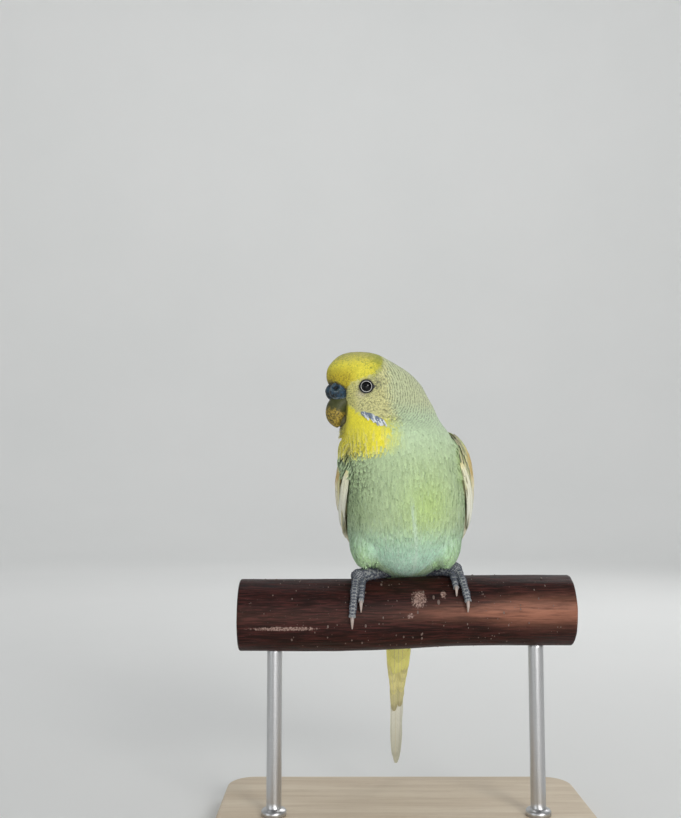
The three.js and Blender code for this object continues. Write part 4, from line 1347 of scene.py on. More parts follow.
def lesser_coverts(name, side, shrug, rng):
    """Rows of small scalloped feathers down the pad, each over the roots of the next."""
    rows, columns, s = 8, 11, np.linspace(0, 1, WING_STATIONS)[None]
    found = []
    for row, start in enumerate(np.linspace(0.02, 0.66, rows)):
        v = (np.arange(columns)[:, None] + 0.5 * (row % 2)) / columns + 0.02
        u = start + (0.24 - 0.04 * (row == 0)) * s
        found.append(pad_places(side, shrug, np.clip(u, 0, 0.98), v, 0.15 + 0.45 * s))
    spines, normals = joined(found)
    return large_feathers(name, spines, normals, np.full(len(spines), 1.9), COVERT_BLADE, rng,
                          [LESSER_TINTS] * len(spines), 0.9, -side * 0.05, 0.08, pale_rim=0.7)


FRONT_EDGE = [
    {"z": (58, 44, 26), "angle": (80, 92, 111), "lift": (1.6, 3.0, 1.4), "half": 1.2, "tone": "quill"},
    {"z": (59, 46, 29), "angle": (84, 95, 110), "lift": (2.0, 3.6, 2.2), "half": 1.3, "tone": "quill"},
    {"z": (58, 47, 30), "angle": (72, 83, 103), "lift": (1.2, 3.0, 2.2), "half": 1.7, "tone": "peach"},
    {"z": (62, 54, 40), "angle": (82, 89, 99), "lift": (3.0, 5.0, 4.4), "half": 1.8, "tone": "peach"},
    {"z": (60, 50, 34), "angle": (66, 75, 97), "lift": (1.6, 3.2, 3.0), "half": 2.1, "tone": "cream"},
    {"z": (64, 57, 48), "angle": (76, 83, 92), "lift": (2.4, 4.6, 4.8), "half": 1.6, "tone": "rust"},
    {"z": (67, 61, 52), "angle": (83, 88, 94), "lift": (3.0, 5.0, 5.2), "half": 1.6, "tone": "rust"},
    {"z": (69, 63, 56), "angle": (76, 81, 86), "lift": (1.4, 3.2, 4.0), "half": 1.5, "tone": "spot"},
    {"z": (71, 66, 59), "angle": (83, 86, 91), "lift": (1.8, 3.8, 4.6), "half": 1.5, "tone": "spot"},
]
EDGE_TINTS = {
    "cream": [(0, WING_YELLOW), (0.12, WING_CREAM), (1, (0.95, 0.96, 0.86))],
    "peach": [(0, WING_YELLOW), (0.3, (0.94, 0.86, 0.62)), (1, (0.92, 0.86, 0.66))],
    "rust": [(0, WING_OLIVE), (0.3, (0.72, 0.56, 0.22)), (0.6, (0.60, 0.42, 0.15)),
             (0.8, (0.92, 0.84, 0.58)), (1, (0.92, 0.86, 0.66))],
    "spot": [(0, WING_BROWN), (0.45, WING_OLIVE), (0.65, (0.34, 0.30, 0.16)), (0.85, WING_CREAM),
             (1, WING_CREAM)],
    "quill": [(0, WING_CREAM), (1, (0.88, 0.82, 0.58))],
}


def front_edge(side_name, rng):
    """The pale feathers along the folded wing's front edge, turned to face ahead."""
    side, shrug = SIDES[side_name], SHRUG[side_name]
    s = np.linspace(0, 1, WING_STATIONS)
    weights = np.stack(bezier_weights(s))
    spines, normals = [], []
    for feather in FRONT_EDGE:
        z, angle, lift = (np.array(feather[key]) @ weights for key in ("z", "angle", "lift"))
        points, facing = over_body(side, z + 0.4 * shrug["root"] * (1 - s), angle, lift * shrug["lift"])
        spines.append(points)
        normals.append(unit(facing + np.array([0.0, -1.1, 0.0])))
    half = np.array([feather["half"] for feather in FRONT_EDGE])
    stops = [EDGE_TINTS[feather["tone"]] for feather in FRONT_EDGE]
    return large_feathers(f"wing_{side_name}_front_edge", np.array(spines), np.array(normals), half,
                          COVERT_BLADE, rng, stops, 0.35, 0.0, 0.08)


DRAPE = {
    "left": {"z": (57, 72), "angle": (48, 76), "low": -1.35, "lift": 0.3},
    "right": {"z": (57, 70), "angle": (58, 102), "low": -1.2, "lift": 1.5},
}


def shoulder_drape(side_name, rng):
    """Soft feathers of the breast's side that lie over the front edge of the wing."""
    side, drape, count = SIDES[side_name], DRAPE[side_name], 330
    z = rng.uniform(*drape["z"], count)[:, None]
    s = np.linspace(0, 1, 6)[None]
    down = z - rng.uniform(3.2, 5.0, count)[:, None] * s
    angle = rng.uniform(*drape["angle"], count)[:, None] + rng.uniform(2, 8, count)[:, None] * s
    over = smooth(54, 84, angle) * smooth(73, 64, down)
    rise = mix(drape["low"], drape["lift"], over) - 0.9 * (1 - s ** 0.6)
    spines, normals = over_body(side, down, angle, rise, 0.25)
    grow_loose(f"wing_{side_name}_drape", ["wing_" + side_name], spines, normals,
               rng.uniform(0.5, 0.85, count), rng.uniform(0, 0.15, count), rng)


def make_wing(side_name):
    """One folded wing: its pad, the feathers that hang from it, its front edge and the drape."""
    side, shrug = SIDES[side_name], SHRUG[side_name]
    rng = np.random.default_rng(30 + side)
    pieces = [wing_pad(f"wing_{side_name}_pad", side, shrug)]
    for tier in TIERS:
        spines, normals = tier_paths(side, shrug, tier)
        pieces.append(large_feathers(
            f"wing_{side_name}_{tier['name']}", spines, normals, np.full(tier["count"], tier["half"]),
            tier["blade"], rng, [tier["tints"]] * tier["count"], tier["line"], -side * WING_TILT,
        ))
    pieces.append(lesser_coverts(f"wing_{side_name}_lesser_coverts", side, shrug, rng))
    pieces.append(front_edge(side_name, rng))
    shoulder_drape(side_name, rng)
    for piece in pieces:
        hand_over(piece, ["wing_" + side_name])


# Tail: pairs of feathers from the long middle pair outwards, then the short coverts

TAIL = {"x": -0.5, "y": 28.6, "z": 2, "lean": 14, "sway": -0.012, "layer": 0.6}
TAIL_PAIRS = [
    {"length": (76, 74.5), "half": 2.5, "root": 0.5, "tip": 0.2},
    {"length": (49, 51), "half": 2.1, "root": 1.3, "tip": 1.2},
    {"length": (42, 43), "half": 2.1, "root": 2.2, "tip": 1.6},
    {"length": (37, 38), "half": 2.1, "root": 3.1, "tip": 2.2},
    {"length": (33, 34), "half": 2.1, "root": 4, "tip": 2.6},
]
TAIL_LEAN = math.radians(TAIL["lean"])
TAIL_ALONG = np.array([TAIL["sway"], math.sin(TAIL_LEAN), -math.cos(TAIL_LEAN)])
TAIL_UP = np.array([0, math.cos(TAIL_LEAN), math.sin(TAIL_LEAN)])
TAIL_TINTS = [
    [(0, TAIL_YELLOW), (0.35, (0.80, 0.77, 0.46)), (0.62, (0.76, 0.76, 0.66)), (1, (0.52, 0.52, 0.42))],
    [(0, TAIL_YELLOW), (0.7, (0.74, 0.70, 0.36)), (0.92, (0.58, 0.54, 0.28)), (1, (0.40, 0.36, 0.20))],
    [(0, TAIL_YELLOW), (0.8, (0.88, 0.81, 0.36)), (1, (0.72, 0.67, 0.28))],
]
UNDER_COVERT = [(0, (1.0, 0.95, 0.30)), (0.85, (0.98, 0.93, 0.30)), (1, (0.82, 0.79, 0.24))]
UPPER_COVERT = [(0, RUMP_GREEN), (0.7, (0.50, 0.62, 0.26)), (1, (0.60, 0.60, 0.24))]
UPPER_ROWS = [
    {"start": -3, "end": 17, "up": (3.2, 2.5), "count": 5, "spread": 4.6, "half": 2.0},
    {"start": 3, "end": 26, "up": (2.6, 2.1), "count": 5, "spread": 3.6, "half": 2.0},
]
UNDER_ROWS = [
    {"start": 3, "end": 33, "up": (-3.2, -2.0), "count": 5, "spread": 4.6, "half": 2.1},
    {"start": -1, "end": 26, "up": (-4.0, -2.6), "count": 5, "spread": 5.3, "half": 2.1},
    {"start": -4, "end": 19, "up": (-4.8, -3.3), "count": 5, "spread": 4.9, "half": 2.1},
]


def tail_places(reach, across, up):
    start = np.array([TAIL["x"], TAIL["y"], TAIL["z"]])
    spread = np.asarray(across, float)[..., None] * np.array([1.0, 0, 0])
    return (start + spread + np.asarray(reach, float)[..., None] * TAIL_ALONG
            + np.asarray(up, float)[..., None] * TAIL_UP)


def tail_path(start, end, across, up):
    """One feather of the tail: how far along it runs, and its place across and over the tail."""
    s = np.linspace(0, 1, WING_STATIONS)
    return tail_places(mix(start, end, s), mix(across[0], across[1], s), mix(up[0], up[1], s))


def tail_quills():
    """The paths, the half widths and the stops of colour of the long feathers."""
    spines, half, stops = [], [], []
    for i, pair in enumerate(TAIL_PAIRS):
        for k, side in enumerate((1, -1)):
            up = 1.4 - TAIL["layer"] * (i + 0.5 * k)
            across = (side * pair["root"], side * pair["tip"])
            spines.append(tail_path(2, pair["length"][k], across, (up, up)))
            half.append(pair["half"])
            stops.append(TAIL_TINTS[min(i, 2)])
    return np.array(spines), np.array(half), stops


def tail_coverts(rows, rng):
    """Rows of coverts over the tail's root: each row's start, end, heights, count and spread."""
    spines, half = [], []
    for row in rows:
        for k in range(row["count"]):
            place = 2 * (k + 0.5) / row["count"] - 1
            reach = row["end"] - 5 * place ** 2 + rng.normal(0, 0.8)
            across = (row["spread"] * place, 0.8 * row["spread"] * place)
            fall = 0.8 * place ** 2 * (-1 if row["up"][0] > 0 else 1)
            up = (row["up"][0] + 1.6 * fall, row["up"][1] + fall)
            spines.append(tail_path(row["start"], reach, across, up))
            half.append(row["half"])
    return np.array(spines), np.array(half)


def tail_piece(name, spines, half, stops, facing, rng, line):
    normals = np.broadcast_to(TAIL_UP * facing, spines.shape)
    piece = large_feathers(name, spines, normals, half, FLIGHT_BLADE, rng, stops, line)
    hand_over(piece, ["tail"])


def make_tail():
    rng = np.random.default_rng(52)
    tail_piece("tail_quills", *tail_quills(), 1, rng, 0.22)
    for name, rows, stops, facing in (("tail_upper_coverts", UPPER_ROWS, UPPER_COVERT, 1),
                                      ("tail_under_coverts", UNDER_ROWS, UNDER_COVERT, -1)):
        spines, half = tail_coverts(rows, rng)
        tail_piece(name, spines, half, [stops] * len(spines), facing, rng, 0.0)


# Plates set on points by Geometry Nodes, for scales, beads and specks

PLATE_SIZES = {"Length": 1.0, "Width": 1.0, "Height": 0.4, "Unevenness": 0.1}


def plates_tree():
    """Sets a rounded plate on each point, along its "ahead", facing its "out", sized by its "size"."""
    tree = bpy.data.node_groups.new("plates_on_points", "GeometryNodeTree")
    BUILDING["tree"] = tree
    face = tree.interface
    face.new_socket("Points", in_out="INPUT", socket_type="NodeSocketGeometry")
    for name, value in PLATE_SIZES.items():
        face.new_socket(name, in_out="INPUT", socket_type="NodeSocketFloat").default_value = value
    face.new_socket("Seed", in_out="INPUT", socket_type="NodeSocketInt")
    face.new_socket("Finish", in_out="INPUT", socket_type="NodeSocketMaterial")
    face.new_socket("Plates", in_out="OUTPUT", socket_type="NodeSocketGeometry")

    def of_point(name):
        return node("GeometryNodeInputNamedAttribute", {"Name": name}, data_type="FLOAT_VECTOR").outputs[0]

    given = node("NodeGroupInput").outputs
    shape = node("GeometryNodeMeshIcoSphere", {"Radius": 1.0, "Subdivisions": 2}).outputs["Mesh"]
    sizes = node("CombineXYZ", {0: given["Length"], 1: given["Width"], 2: given["Height"]})
    uneven = given["Unevenness"]
    draw = node("FunctionNodeRandomValue", {2: times(uneven, -1.0), 3: uneven, "Seed": given["Seed"]},
                data_type="FLOAT").outputs[1]
    scale = node("VectorMath", {0: sizes.outputs[0], 1: of_point("size")}, operation="MULTIPLY")
    scale = node("VectorMath", {0: scale.outputs[0], "Scale": number("ADD", draw, 1.0)},
                 operation="SCALE")
    turn = node("FunctionNodeAxesToRotation", {0: of_point("out"), 1: of_point("ahead")},
                primary_axis="Z", secondary_axis="X")
    placed = node("GeometryNodeInstanceOnPoints", {
        "Points": given["Points"], "Instance": shape, "Rotation": turn.outputs[0],
        "Scale": scale.outputs[0],
    })
    whole = node("GeometryNodeRealizeInstances", {"Geometry": placed.outputs[0]}).outputs[0]
    evened = node("GeometryNodeSetShadeSmooth", {"Geometry": whole}).outputs[0]
    done = node("GeometryNodeSetMaterial", {"Geometry": evened, "Material": given["Finish"]})
    node("NodeGroupOutput", {"Plates": done.outputs[0]})
    return tree


PLATES = plates_tree()


def set_plates(name, places, ahead, out, sizes, finish, seed, **shape):
    """A piece of rounded plates, one on each place, with their sizes in millimetres."""
    mesh = bpy.data.meshes.new(name)
    mesh.from_pydata(put(places).tolist(), [], [])
    paint(mesh, "ahead", ahead)
    paint(mesh, "out", out)
    paint(mesh, "size", np.asarray(sizes, float)[:, None] * np.full(3, MM))
    piece = new_piece(mesh, finish, name)
    growth = piece.modifiers.new("plates", "NODES")
    growth.node_group = PLATES
    values = {**PLATE_SIZES, **shape, "Seed": seed, "Finish": finish}
    for item in PLATES.interface.items_tree:
        if item.in_out == "INPUT" and item.name in values:
            growth[item.identifier] = values[item.name]
    return applied(piece)


# Eyes

EYE_RINGS = {"pupil": 1.98, "iris": 2.02, "white": 2.19, "rim": 2.70}
# The lids' section, from the eyeball outwards: how far off the line of sight, and how far along it
LID_PROFILE = [(2.18, 2.46), (2.22, 2.58), (2.31, 2.65), (2.43, 2.67), (2.54, 2.64), (2.64, 2.56),
               (2.74, 2.43), (2.82, 2.27), (2.88, 2.0), (2.90, 1.6), (2.75, 1.3), (2.5, 1.7)]
# Rows of beads on the lids: how far off the line of sight, how far along it, how many, and their size
LID_BEADS = [(2.43, 2.65, 36, 0.12), (2.67, 2.49, 38, 0.14)]


def eye_axes(eye):
    facing = eye["facing"]
    above = unit(UPWARDS - facing[2] * facing)
    return facing, above, np.cross(facing, above)


def about_eye(eye, reach, height, around):
    """Places round the eye's line of sight: off it, along it from the eye's centre, and round it."""
    facing, above, aside = eye_axes(eye)
    reach, height, around = (np.asarray(v, float)[..., None] for v in (reach, height, around))
    return eye["centre"] + height * facing + reach * (np.cos(around) * above + np.sin(around) * aside)


def eyeball_finish():
    reach = stored("ring")[0]
    iris = blend(noise(2500, 2), (0.84, 0.83, 0.80), (0.98, 0.97, 0.94))
    inner = band(reach, EYE_RINGS["iris"] - 0.07, EYE_RINGS["iris"] + 0.05)
    tone = blend(inner, (0.012, 0.010, 0.010), iris)
    dark = band(reach, EYE_RINGS["white"] - 0.05, EYE_RINGS["white"] + 0.06)
    tone = blend(dark, tone, (0.02, 0.02, 0.022))
    pupil = band(reach, EYE_RINGS["pupil"] + 0.08, EYE_RINGS["pupil"] - 0.08)
    return shader_inputs(blend(pupil, tone, (0.003, 0.003, 0.004)), 0.08, None, 0.25)


def lid_finish():
    tone = blend(noise(1800, 3), (0.006, 0.007, 0.008), (0.030, 0.032, 0.034))
    rim = times(band(stored("ring")[0], EYE_RINGS["rim"], EYE_RINGS["rim"] + 0.12), 0.8)
    return shader_inputs(blend(rim, tone, (0.24, 0.22, 0.19)), 0.55, bump(noise(5200, 3), 0.06, 0.6), 0.3)


EYEBALL = material("eyeball", eyeball_finish)
EYELID = material("eyelid_skin", lid_finish)


def make_eye(side_name):
    """The eyeball, which bulges at its front, and the lids and beads round it."""
    eye, nodes = EYES[side_name], ["eye_" + side_name]
    polar, around = np.meshgrid(np.linspace(math.pi - 0.02, 0.02, 45), full_turn(72), indexing="ij")
    ball = EYE["radius"] * (1 + 0.025 * np.exp(-(polar / 0.55) ** 2))
    reach, height = ball * np.sin(polar), ball * np.cos(polar)
    mesh = closed_tubes(f"eye_{side_name}_ball", about_eye(eye, reach, height, around))
    behind = 9.0
    paint(mesh, "ring", np.append(np.where(np.cos(polar) > 0, reach, behind), [behind, 0]))
    finished(mesh, EYEBALL, nodes)
    finished(lid_mesh(side_name, eye), EYELID, nodes)
    hand_over(lid_beads(side_name, eye), nodes)


def lid_mesh(side_name, eye):
    """A closed ring of bare wrinkled skin, drawn out into the eye's two corners."""
    around = full_turn(120)
    back, front = (np.maximum(0, np.cos(around + way * SIDES[side_name] * math.pi / 2)) ** 30
                   for way in (1, -1))
    corner = 0.62 * back + 0.22 * front
    loops = []
    for reach, height in LID_PROFILE:
        outer = smooth(2.5, 2.85, reach)
        crest = smooth(2.36, 2.5, reach) * smooth(2.9, 2.7, reach)
        fold = crest * (0.035 * np.cos(34 * around) + 0.03 * np.cos(13 * around + 1.0))
        loops.append(about_eye(eye, reach + outer * corner, height + fold + 0.3 * outer * back, around))
    count, sides = len(loops), len(around)
    faces = loft_faces(count + 1, sides)[:, ::-1] % (count * sides)
    mesh = mesh_from(f"eye_{side_name}_lids", np.concatenate(loops), faces)
    paint(mesh, "ring", np.repeat([reach for reach, _ in LID_PROFILE], sides))
    return mesh


def lid_beads(side_name, eye):
    reach, height, size = (np.concatenate([np.full(row[2], row[k]) for row in LID_BEADS])
                           for k in (0, 1, 3))
    turns = np.concatenate([full_turn(count) for _, _, count, _ in LID_BEADS])
    facing, above, aside = eye_axes(eye)
    ahead = np.cos(turns)[:, None] * aside - np.sin(turns)[:, None] * above
    return set_plates(f"eye_{side_name}_beads", about_eye(eye, reach, height, turns), ahead,
                      np.tile(facing, (len(turns), 1)), size, EYELID, 7, Height=0.6, Unevenness=0.15)


# Cere and beak

CERE = {"forward": 12.7, "apart": 2.1, "up": -1.9, "depth": 4.5, "width": 3.2, "height": 3.9}
NOSTRIL = {"forward": 15.1, "apart": 3.6, "up": -0.7, "radius": 1.12, "deep": 1.4}
BEAK_HINGE = {"forward": 9.3, "up": -11}
# The upper beak: an angle round its hinge, its inner and outer reach there, and its half width
BEAK = np.array([
    (105, 1.4, 9.2, 4.3),
    (70, 1.2, 8.9, 4.5),
    (38, 1.0, 8.6, 4.5),
    (14, 0.8, 8.3, 4.4),
    (-9, 1.0, 7.9, 4.1),
    (-31, 1.9, 7.2, 3.4),
    (-54, 4.0, 6.4, 1.3),
])
LOWER_BEAK = {"forward": 10.2, "up": -12.9, "depth": 3.4, "width": 3.3, "height": 3.4}


def head_lobe(middle, left, radii):
    """An egg shape on the head's own axes, as rings of places."""
    local = ellipsoid_rings((0, 0, 0), radii)
    return head_point(middle["forward"] + local[..., 0], left + local[..., 1],
                      middle["up"] + local[..., 2])


def cere_finish():
    pit, rim, _ = stored("shade")
    cloud = noise(520, 4, roughness=0.65)
    tone = blend(band(cloud, 0.42, 0.62), (0.003, 0.005, 0.007), (0.010, 0.052, 0.105))
    tone = blend(times(band(noise(380, 3), 0.48, 0.62), 0.6), tone, (0.025, 0.060, 0.070))
    fleck = band(noise(1400, 3, roughness=0.75), 0.57, 0.68)
    tone = blend(times(fleck, 0.6), tone, (0.19, 0.32, 0.37))
    broken = times(rim, band(noise(900, 3, roughness=0.7), 0.30, 0.55))
    tone = blend(times(broken, 0.85), tone, (0.26, 0.30, 0.32))
    crust = bump(noise(1150, 4, roughness=0.7), 0.5)
    # Painted shade: the nostril pits are near black, as shade inside the holes
    return shader_inputs(blend(pit, tone, (0.004, 0.005, 0.007)), 0.42, crust)


def beak_finish():
    along, _, lower = stored("place")
    cloud = noise(700, 4, roughness=0.7)
    mustard = blend(band(noise(1300, 3, roughness=0.7), 0.4, 0.62), (0.09, 0.075, 0.02),
                    (0.44, 0.31, 0.05))
    olive = blend(cloud, (0.040, 0.044, 0.014), (0.085, 0.09, 0.030))
    tone = blend(band(times_plus(cloud, 0.28, along), 0.56, 0.70), olive, mustard)
    flake = times(band(noise(1700, 4, roughness=0.75), 0.60, 0.70), band(along, 0.45, 0.7))
    tone = blend(times(flake, 0.6), tone, (0.66, 0.58, 0.32))
    tone = blend(lower, tone, blend(cloud, (0.05, 0.05, 0.025), (0.16, 0.14, 0.06)))
    lines = number("SINE", times_plus(along, 95.0, times(cloud, 6.0)))
    return shader_inputs(tone, 0.48, bump(times_plus(flake, 1.6, times(lines, 0.35)), 0.07, 0.9), 0.3)


CERE_SKIN = material("cere_skin", cere_finish)
BEAK_HORN = material("beak_horn", beak_finish)


def make_cere():
    """Two swollen lobes and the bridge between them, with sunk nostrils in raised rims."""
    size = (CERE["depth"], CERE["width"], CERE["height"])
    shells = [head_lobe(CERE, side * CERE["apart"], size) for side in SIDES.values()]
    shells.append(head_lobe(CERE, 0.0, (CERE["depth"] - 0.25, 2.0, CERE["height"] - 0.2)))
    piece = remeshed("cere_lobes", closed_tubes("cere", *shells), 0.17, 6, CERE_SKIN)
    places, normals = vertex_arrays(piece.data)
    pit, rim = np.zeros(len(places)), np.zeros(len(places))
    for side in SIDES.values():
        hole = head_point(NOSTRIL["forward"], side * NOSTRIL["apart"], NOSTRIL["up"])
        away = np.linalg.norm(places - hole, axis=1)
        pit = np.maximum(pit, smooth(1.55 * NOSTRIL["radius"], 0.7 * NOSTRIL["radius"], away))
        lip = hump(away, 1.75 * NOSTRIL["radius"], 0.22)
        places = places + normals * (0.22 * lip)[:, None]
        rim = np.maximum(rim, 0.55 * lip)
    places = places - normals * (NOSTRIL["deep"] * pit)[:, None]
    _, left, up = head_places(places)
    rim = np.maximum(rim, smooth(-4.35, -4.7, up))
    groove = hump(left, 0, 0.35) * smooth(-5, -3, up)
    move_vertices(piece.data, places - normals * (0.25 * groove)[:, None])
    paint(piece.data, "shade", np.stack([pit, rim], 1))
    hand_over(piece, ["cere"])


def make_beak():
    """The upper beak as a loft round its hinge, with a low ridge, and the lower beak as an egg."""
    count, sides = 61, 48
    stations = curve_through(BEAK, np.linspace(0, len(BEAK) - 1, count))
    angle = np.radians(stations[:, 0])[:, None]
    inner, outer, width = (stations[:, k][:, None] for k in (1, 2, 3))
    turn = full_turn(sides)[None]
    ridge = 0.10 * np.exp(-(np.minimum(turn, 2 * math.pi - turn) / 0.35) ** 2)
    reach = (outer + inner) / 2 + (outer - inner) / 2 * (np.cos(turn) + ridge)
    across = width * np.sign(np.sin(turn)) * np.abs(np.sin(turn)) ** 0.75
    rings = head_point(BEAK_HINGE["forward"] + reach * np.cos(angle), across,
                       BEAK_HINGE["up"] + reach * np.sin(angle))
    upper = closed_tubes("beak_upper_horn", rings[::-1])
    along = np.repeat(np.linspace(0, 1, count), sides)[::-1]
    paint(upper, "place", np.append(along, [1, 0]))
    finished(upper, BEAK_HORN, ["beak_upper"])
    size = (LOWER_BEAK["depth"], LOWER_BEAK["width"], LOWER_BEAK["height"])
    lower = closed_tubes("beak_lower_horn", head_lobe(LOWER_BEAK, 0.0, size))
    paint_whole(lower, "place", (0.5, 0.0, 1.0))
    finished(lower, BEAK_HORN, ["beak_lower"])


# Branch: its surface carries the feet

PERCH = {"radius": 14.0, "taper": 0.18, "length": 132.0, "chamfer": 0.9}
CROOK = {"lift": 0.5, "rise": 1.0, "middle": 4.0, "reach": 18.0}
GAP = 0.3
# Patches where the bark is off: a place along, an angle, and half sizes along and round, in mm
WORN_SPOTS = [(4.6, 62, 3.4, 4.4), (14.2, 56, 1.3, 2.2), (1.2, 88, 1.6, 1.2), (-47, 105, 17, 1.0)]


def perch_radius(x):
    return PERCH["radius"] - PERCH["taper"] * x / (PERCH["length"] / 2)


def perch_rise(x):
    return CROOK["lift"] + CROOK["rise"] * np.tanh((x - CROOK["middle"]) / CROOK["reach"])


def perch_out(angle):
    """The way out from the branch at an angle, in degrees, from its top towards the front."""
    angle = np.radians(angle)
    return np.stack([0 * angle, -np.sin(angle), np.cos(angle)], -1)


def on_perch(x, angle, height):
    x, angle = np.broadcast_arrays(np.asarray(x, float), np.asarray(angle, float))
    middle = np.stack([x, 0 * x, perch_rise(x)], -1)
    return middle + perch_out(angle) * np.asarray(perch_radius(x) + height)[..., None]


def worn_places(x, angle):
    """How worn the bark is, from 0 to 1, at places along it and angles round it."""
    worn = np.zeros_like(x)
    for at, turned, half_long, half_round in WORN_SPOTS:
        off = (angle - turned) * math.pi / 180 * PERCH["radius"]
        worn = np.maximum(worn, np.exp(-((x - at) / half_long) ** 2 - (off / half_round) ** 2))
    return worn


def bark_finish():
    """Dark bark with fine cracks, a painted sheen band, specks and scraped patches, and ringed ends."""
    worn, end, reach = stored("bark")
    broad = grain((28, 110, 110), 4)
    fine = grain((120, 1500, 1500), 5, roughness=0.6)
    tone = blend(band(broad, 0.35, 0.7), (0.010, 0.0027, 0.0020), (0.016, 0.0042, 0.0028))
    tone = blend(band(fine, 0.40, 0.68), tone, (0.062, 0.0155, 0.0132))
    crack = band(grain((240, 2600, 2600), roughness=0.7), 0.40, 0.32)
    tone = blend(times(crack, 0.7), tone, (0.005, 0.003, 0.003))
    # Painted highlight: a lighter red-brown band along the bark's front, where the light's sheen falls
    painted_sheen = times(stored("painted_sheen")[0], band(grain((90, 700, 700), 4), 0.1, 0.55))
    tone = blend(painted_sheen, tone, blend(fine, (0.14, 0.049, 0.030), (0.50, 0.215, 0.135)))
    speck = band(noise(900, 3, roughness=0.8), 0.66, 0.74)
    tone = blend(times(speck, 0.55), tone, (0.22, 0.15, 0.12))
    ragged = times_plus(noise(900, 4, roughness=0.75), 1.5, -0.75)
    scraped = blend(band(noise(1700, 3), 0.35, 0.65), (0.10, 0.05, 0.04), (0.40, 0.27, 0.23))
    tone = blend(band(number("ADD", worn, ragged), 0.45, 0.75), tone, scraped)
    rings = number("SINE", times_plus(reach, 7.5, times(noise(120, 3), 9.0)))
    wood = blend(band(rings, -0.6, 0.9), (0.36, 0.21, 0.11), (0.56, 0.38, 0.22))
    wood = blend(band(reach, 12.4, 12.9), wood, (0.10, 0.045, 0.03))
    roughness = times_plus(end, 0.25, times_plus(fine, 0.25, 0.36))
    height = times_plus(fine, 0.8, times(crack, -0.7))
    return shader_inputs(blend(end, tone, wood), roughness, bump(height, 0.12, 0.7), 0.2)


def speck_finish():
    return shader_inputs(blend(noise(900, 2), (0.07, 0.035, 0.03), (0.26, 0.19, 0.16)), 0.6)


BARK = material("branch_bark", bark_finish)
SPECK = material("bark_specks", speck_finish)


def bark_rise(x, angle, radius):
    """Low ridges along the bark, a few dents, and the fine unevenness of its skin."""
    turned = math.radians(angle)
    y, z = Vector((math.cos(turned) * radius, math.sin(turned) * radius))
    ridges = mathutils.noise.fractal(Vector((x * 0.02, y * 0.16, z * 0.16)), 0.9, 2.1, 3)
    fine = mathutils.noise.fractal(Vector((x * 0.12, y * 0.9, z * 0.9)), 0.9, 2.1, 2)
    return 0.30 * ridges + 0.05 * fine - 0.12


def branch_levels():
    """Places along the branch, with how far each ring is drawn in from the bark."""
    half, edge = PERCH["length"] / 2, PERCH["chamfer"]
    corner = [(half - edge * (1 - math.sin(a)), edge * (1 - math.cos(a)))
              for a in np.linspace(0.3, math.pi / 2, 5)]
    end = corner + [(half, inset) for inset in (3, 5, 7, 9, 11, 12.6)]
    return ([(-x, inset) for x, inset in end[::-1]]
            + [(x, 0) for x in np.linspace(edge - half, half - edge, 190)] + end)


def make_branch():
    """A loft with low ridges and dents in its bark, and cut ends with rounded edges."""
    levels, sides = branch_levels(), 168
    turns = np.linspace(0, 360, sides, endpoint=False)
    turned = (turns + 180) % 360 - 180
    rings, marks, painted_sheen = [], [], []
    for x, inset in levels:
        radius = perch_radius(x) - inset
        rise = [bark_rise(x, angle, radius) for angle in turns]
        radius = radius + np.array(rise) * smooth(9, 13, radius)
        rings.append(np.array([x, 0, perch_rise(x)]) + perch_out(turns) * radius[:, None])
        cut = np.full(sides, float(inset > PERCH["chamfer"]))
        marks.append(np.stack([worn_places(np.full(sides, x), turned), cut, radius], 1))
        # Painted highlight: the sheen band along the front, wider and stronger towards the +x end
        painted_sheen.append(hump(turned, 86, 13 + 8 * smooth(20, 50, x)) * (0.08 + 0.92 * smooth(-15, 48, x)))
    mesh = closed_tubes("branch", np.array(rings)[:, ::-1])
    ends = [(0, 1, 0), (0, 1, 0)]
    paint(mesh, "bark", np.concatenate([np.array(marks)[:, ::-1].reshape(-1, 3), ends]))
    paint(mesh, "painted_sheen", np.append(np.array(painted_sheen)[:, ::-1], [0, 0]))
    finished(mesh, BARK, ["perch"])


def make_specks():
    """Small pale grains all over the bark."""
    rng, count = np.random.default_rng(8), 420
    x, angle = rng.uniform(-63, 63, count), rng.uniform(-180, 180, count)
    sizes = 0.22 * rng.lognormal(0, 0.45, count)
    ahead = np.stack([0 * x, np.cos(np.radians(angle)), np.sin(np.radians(angle))], -1)
    piece = set_plates("branch_specks", on_perch(x, angle, -0.03), ahead, perch_out(angle), sizes,
                       SPECK, 3, Length=1.5, Width=0.8, Height=0.35, Unevenness=0.4)
    hand_over(piece, ["perch"])


# Legs and feet: angles are degrees round the branch, from its top towards the front

TARSUS = {"radius": 2.25, "ball": 2.6}
FEET = {
    "right": {"x": -18.6, "grip": 20, "ankle": (-6.0, 6.0, 16.2), "toes": [
        {"radius": 1.15, "root_x": 1.2, "tip_x": 3.2, "root": -6, "end": -34, "claw": -50},
        {"radius": 1.2, "root_x": 1.4, "tip_x": 0.7, "root": 8, "end": 42, "claw": 60},
        {"radius": 1.42, "root_x": -1.1, "tip_x": -2.7, "root": 8, "end": 64, "claw": 85},
        {"radius": 1.3, "root_x": -1.3, "tip_x": -1.6, "root": -6, "end": -48, "claw": -66},
    ]},
    "left": {"x": 20, "grip": 9, "ankle": (10.0, 6.0, 16.3), "toes": [
        {"radius": 1.15, "root_x": -1.2, "tip_x": -3.2, "root": -6, "end": -36, "claw": -52},
        {"radius": 1.2, "root_x": -1.4, "tip_x": -0.8, "root": 8, "end": 37, "claw": 52},
        {"radius": 1.42, "root_x": 1.1, "tip_x": 3.3, "root": 8, "end": 59, "claw": 77},
        {"radius": 1.3, "root_x": 1.3, "tip_x": 3.6, "root": -6, "end": -50, "claw": -68},
    ]},
}
TOE_JOINTS = 2.5
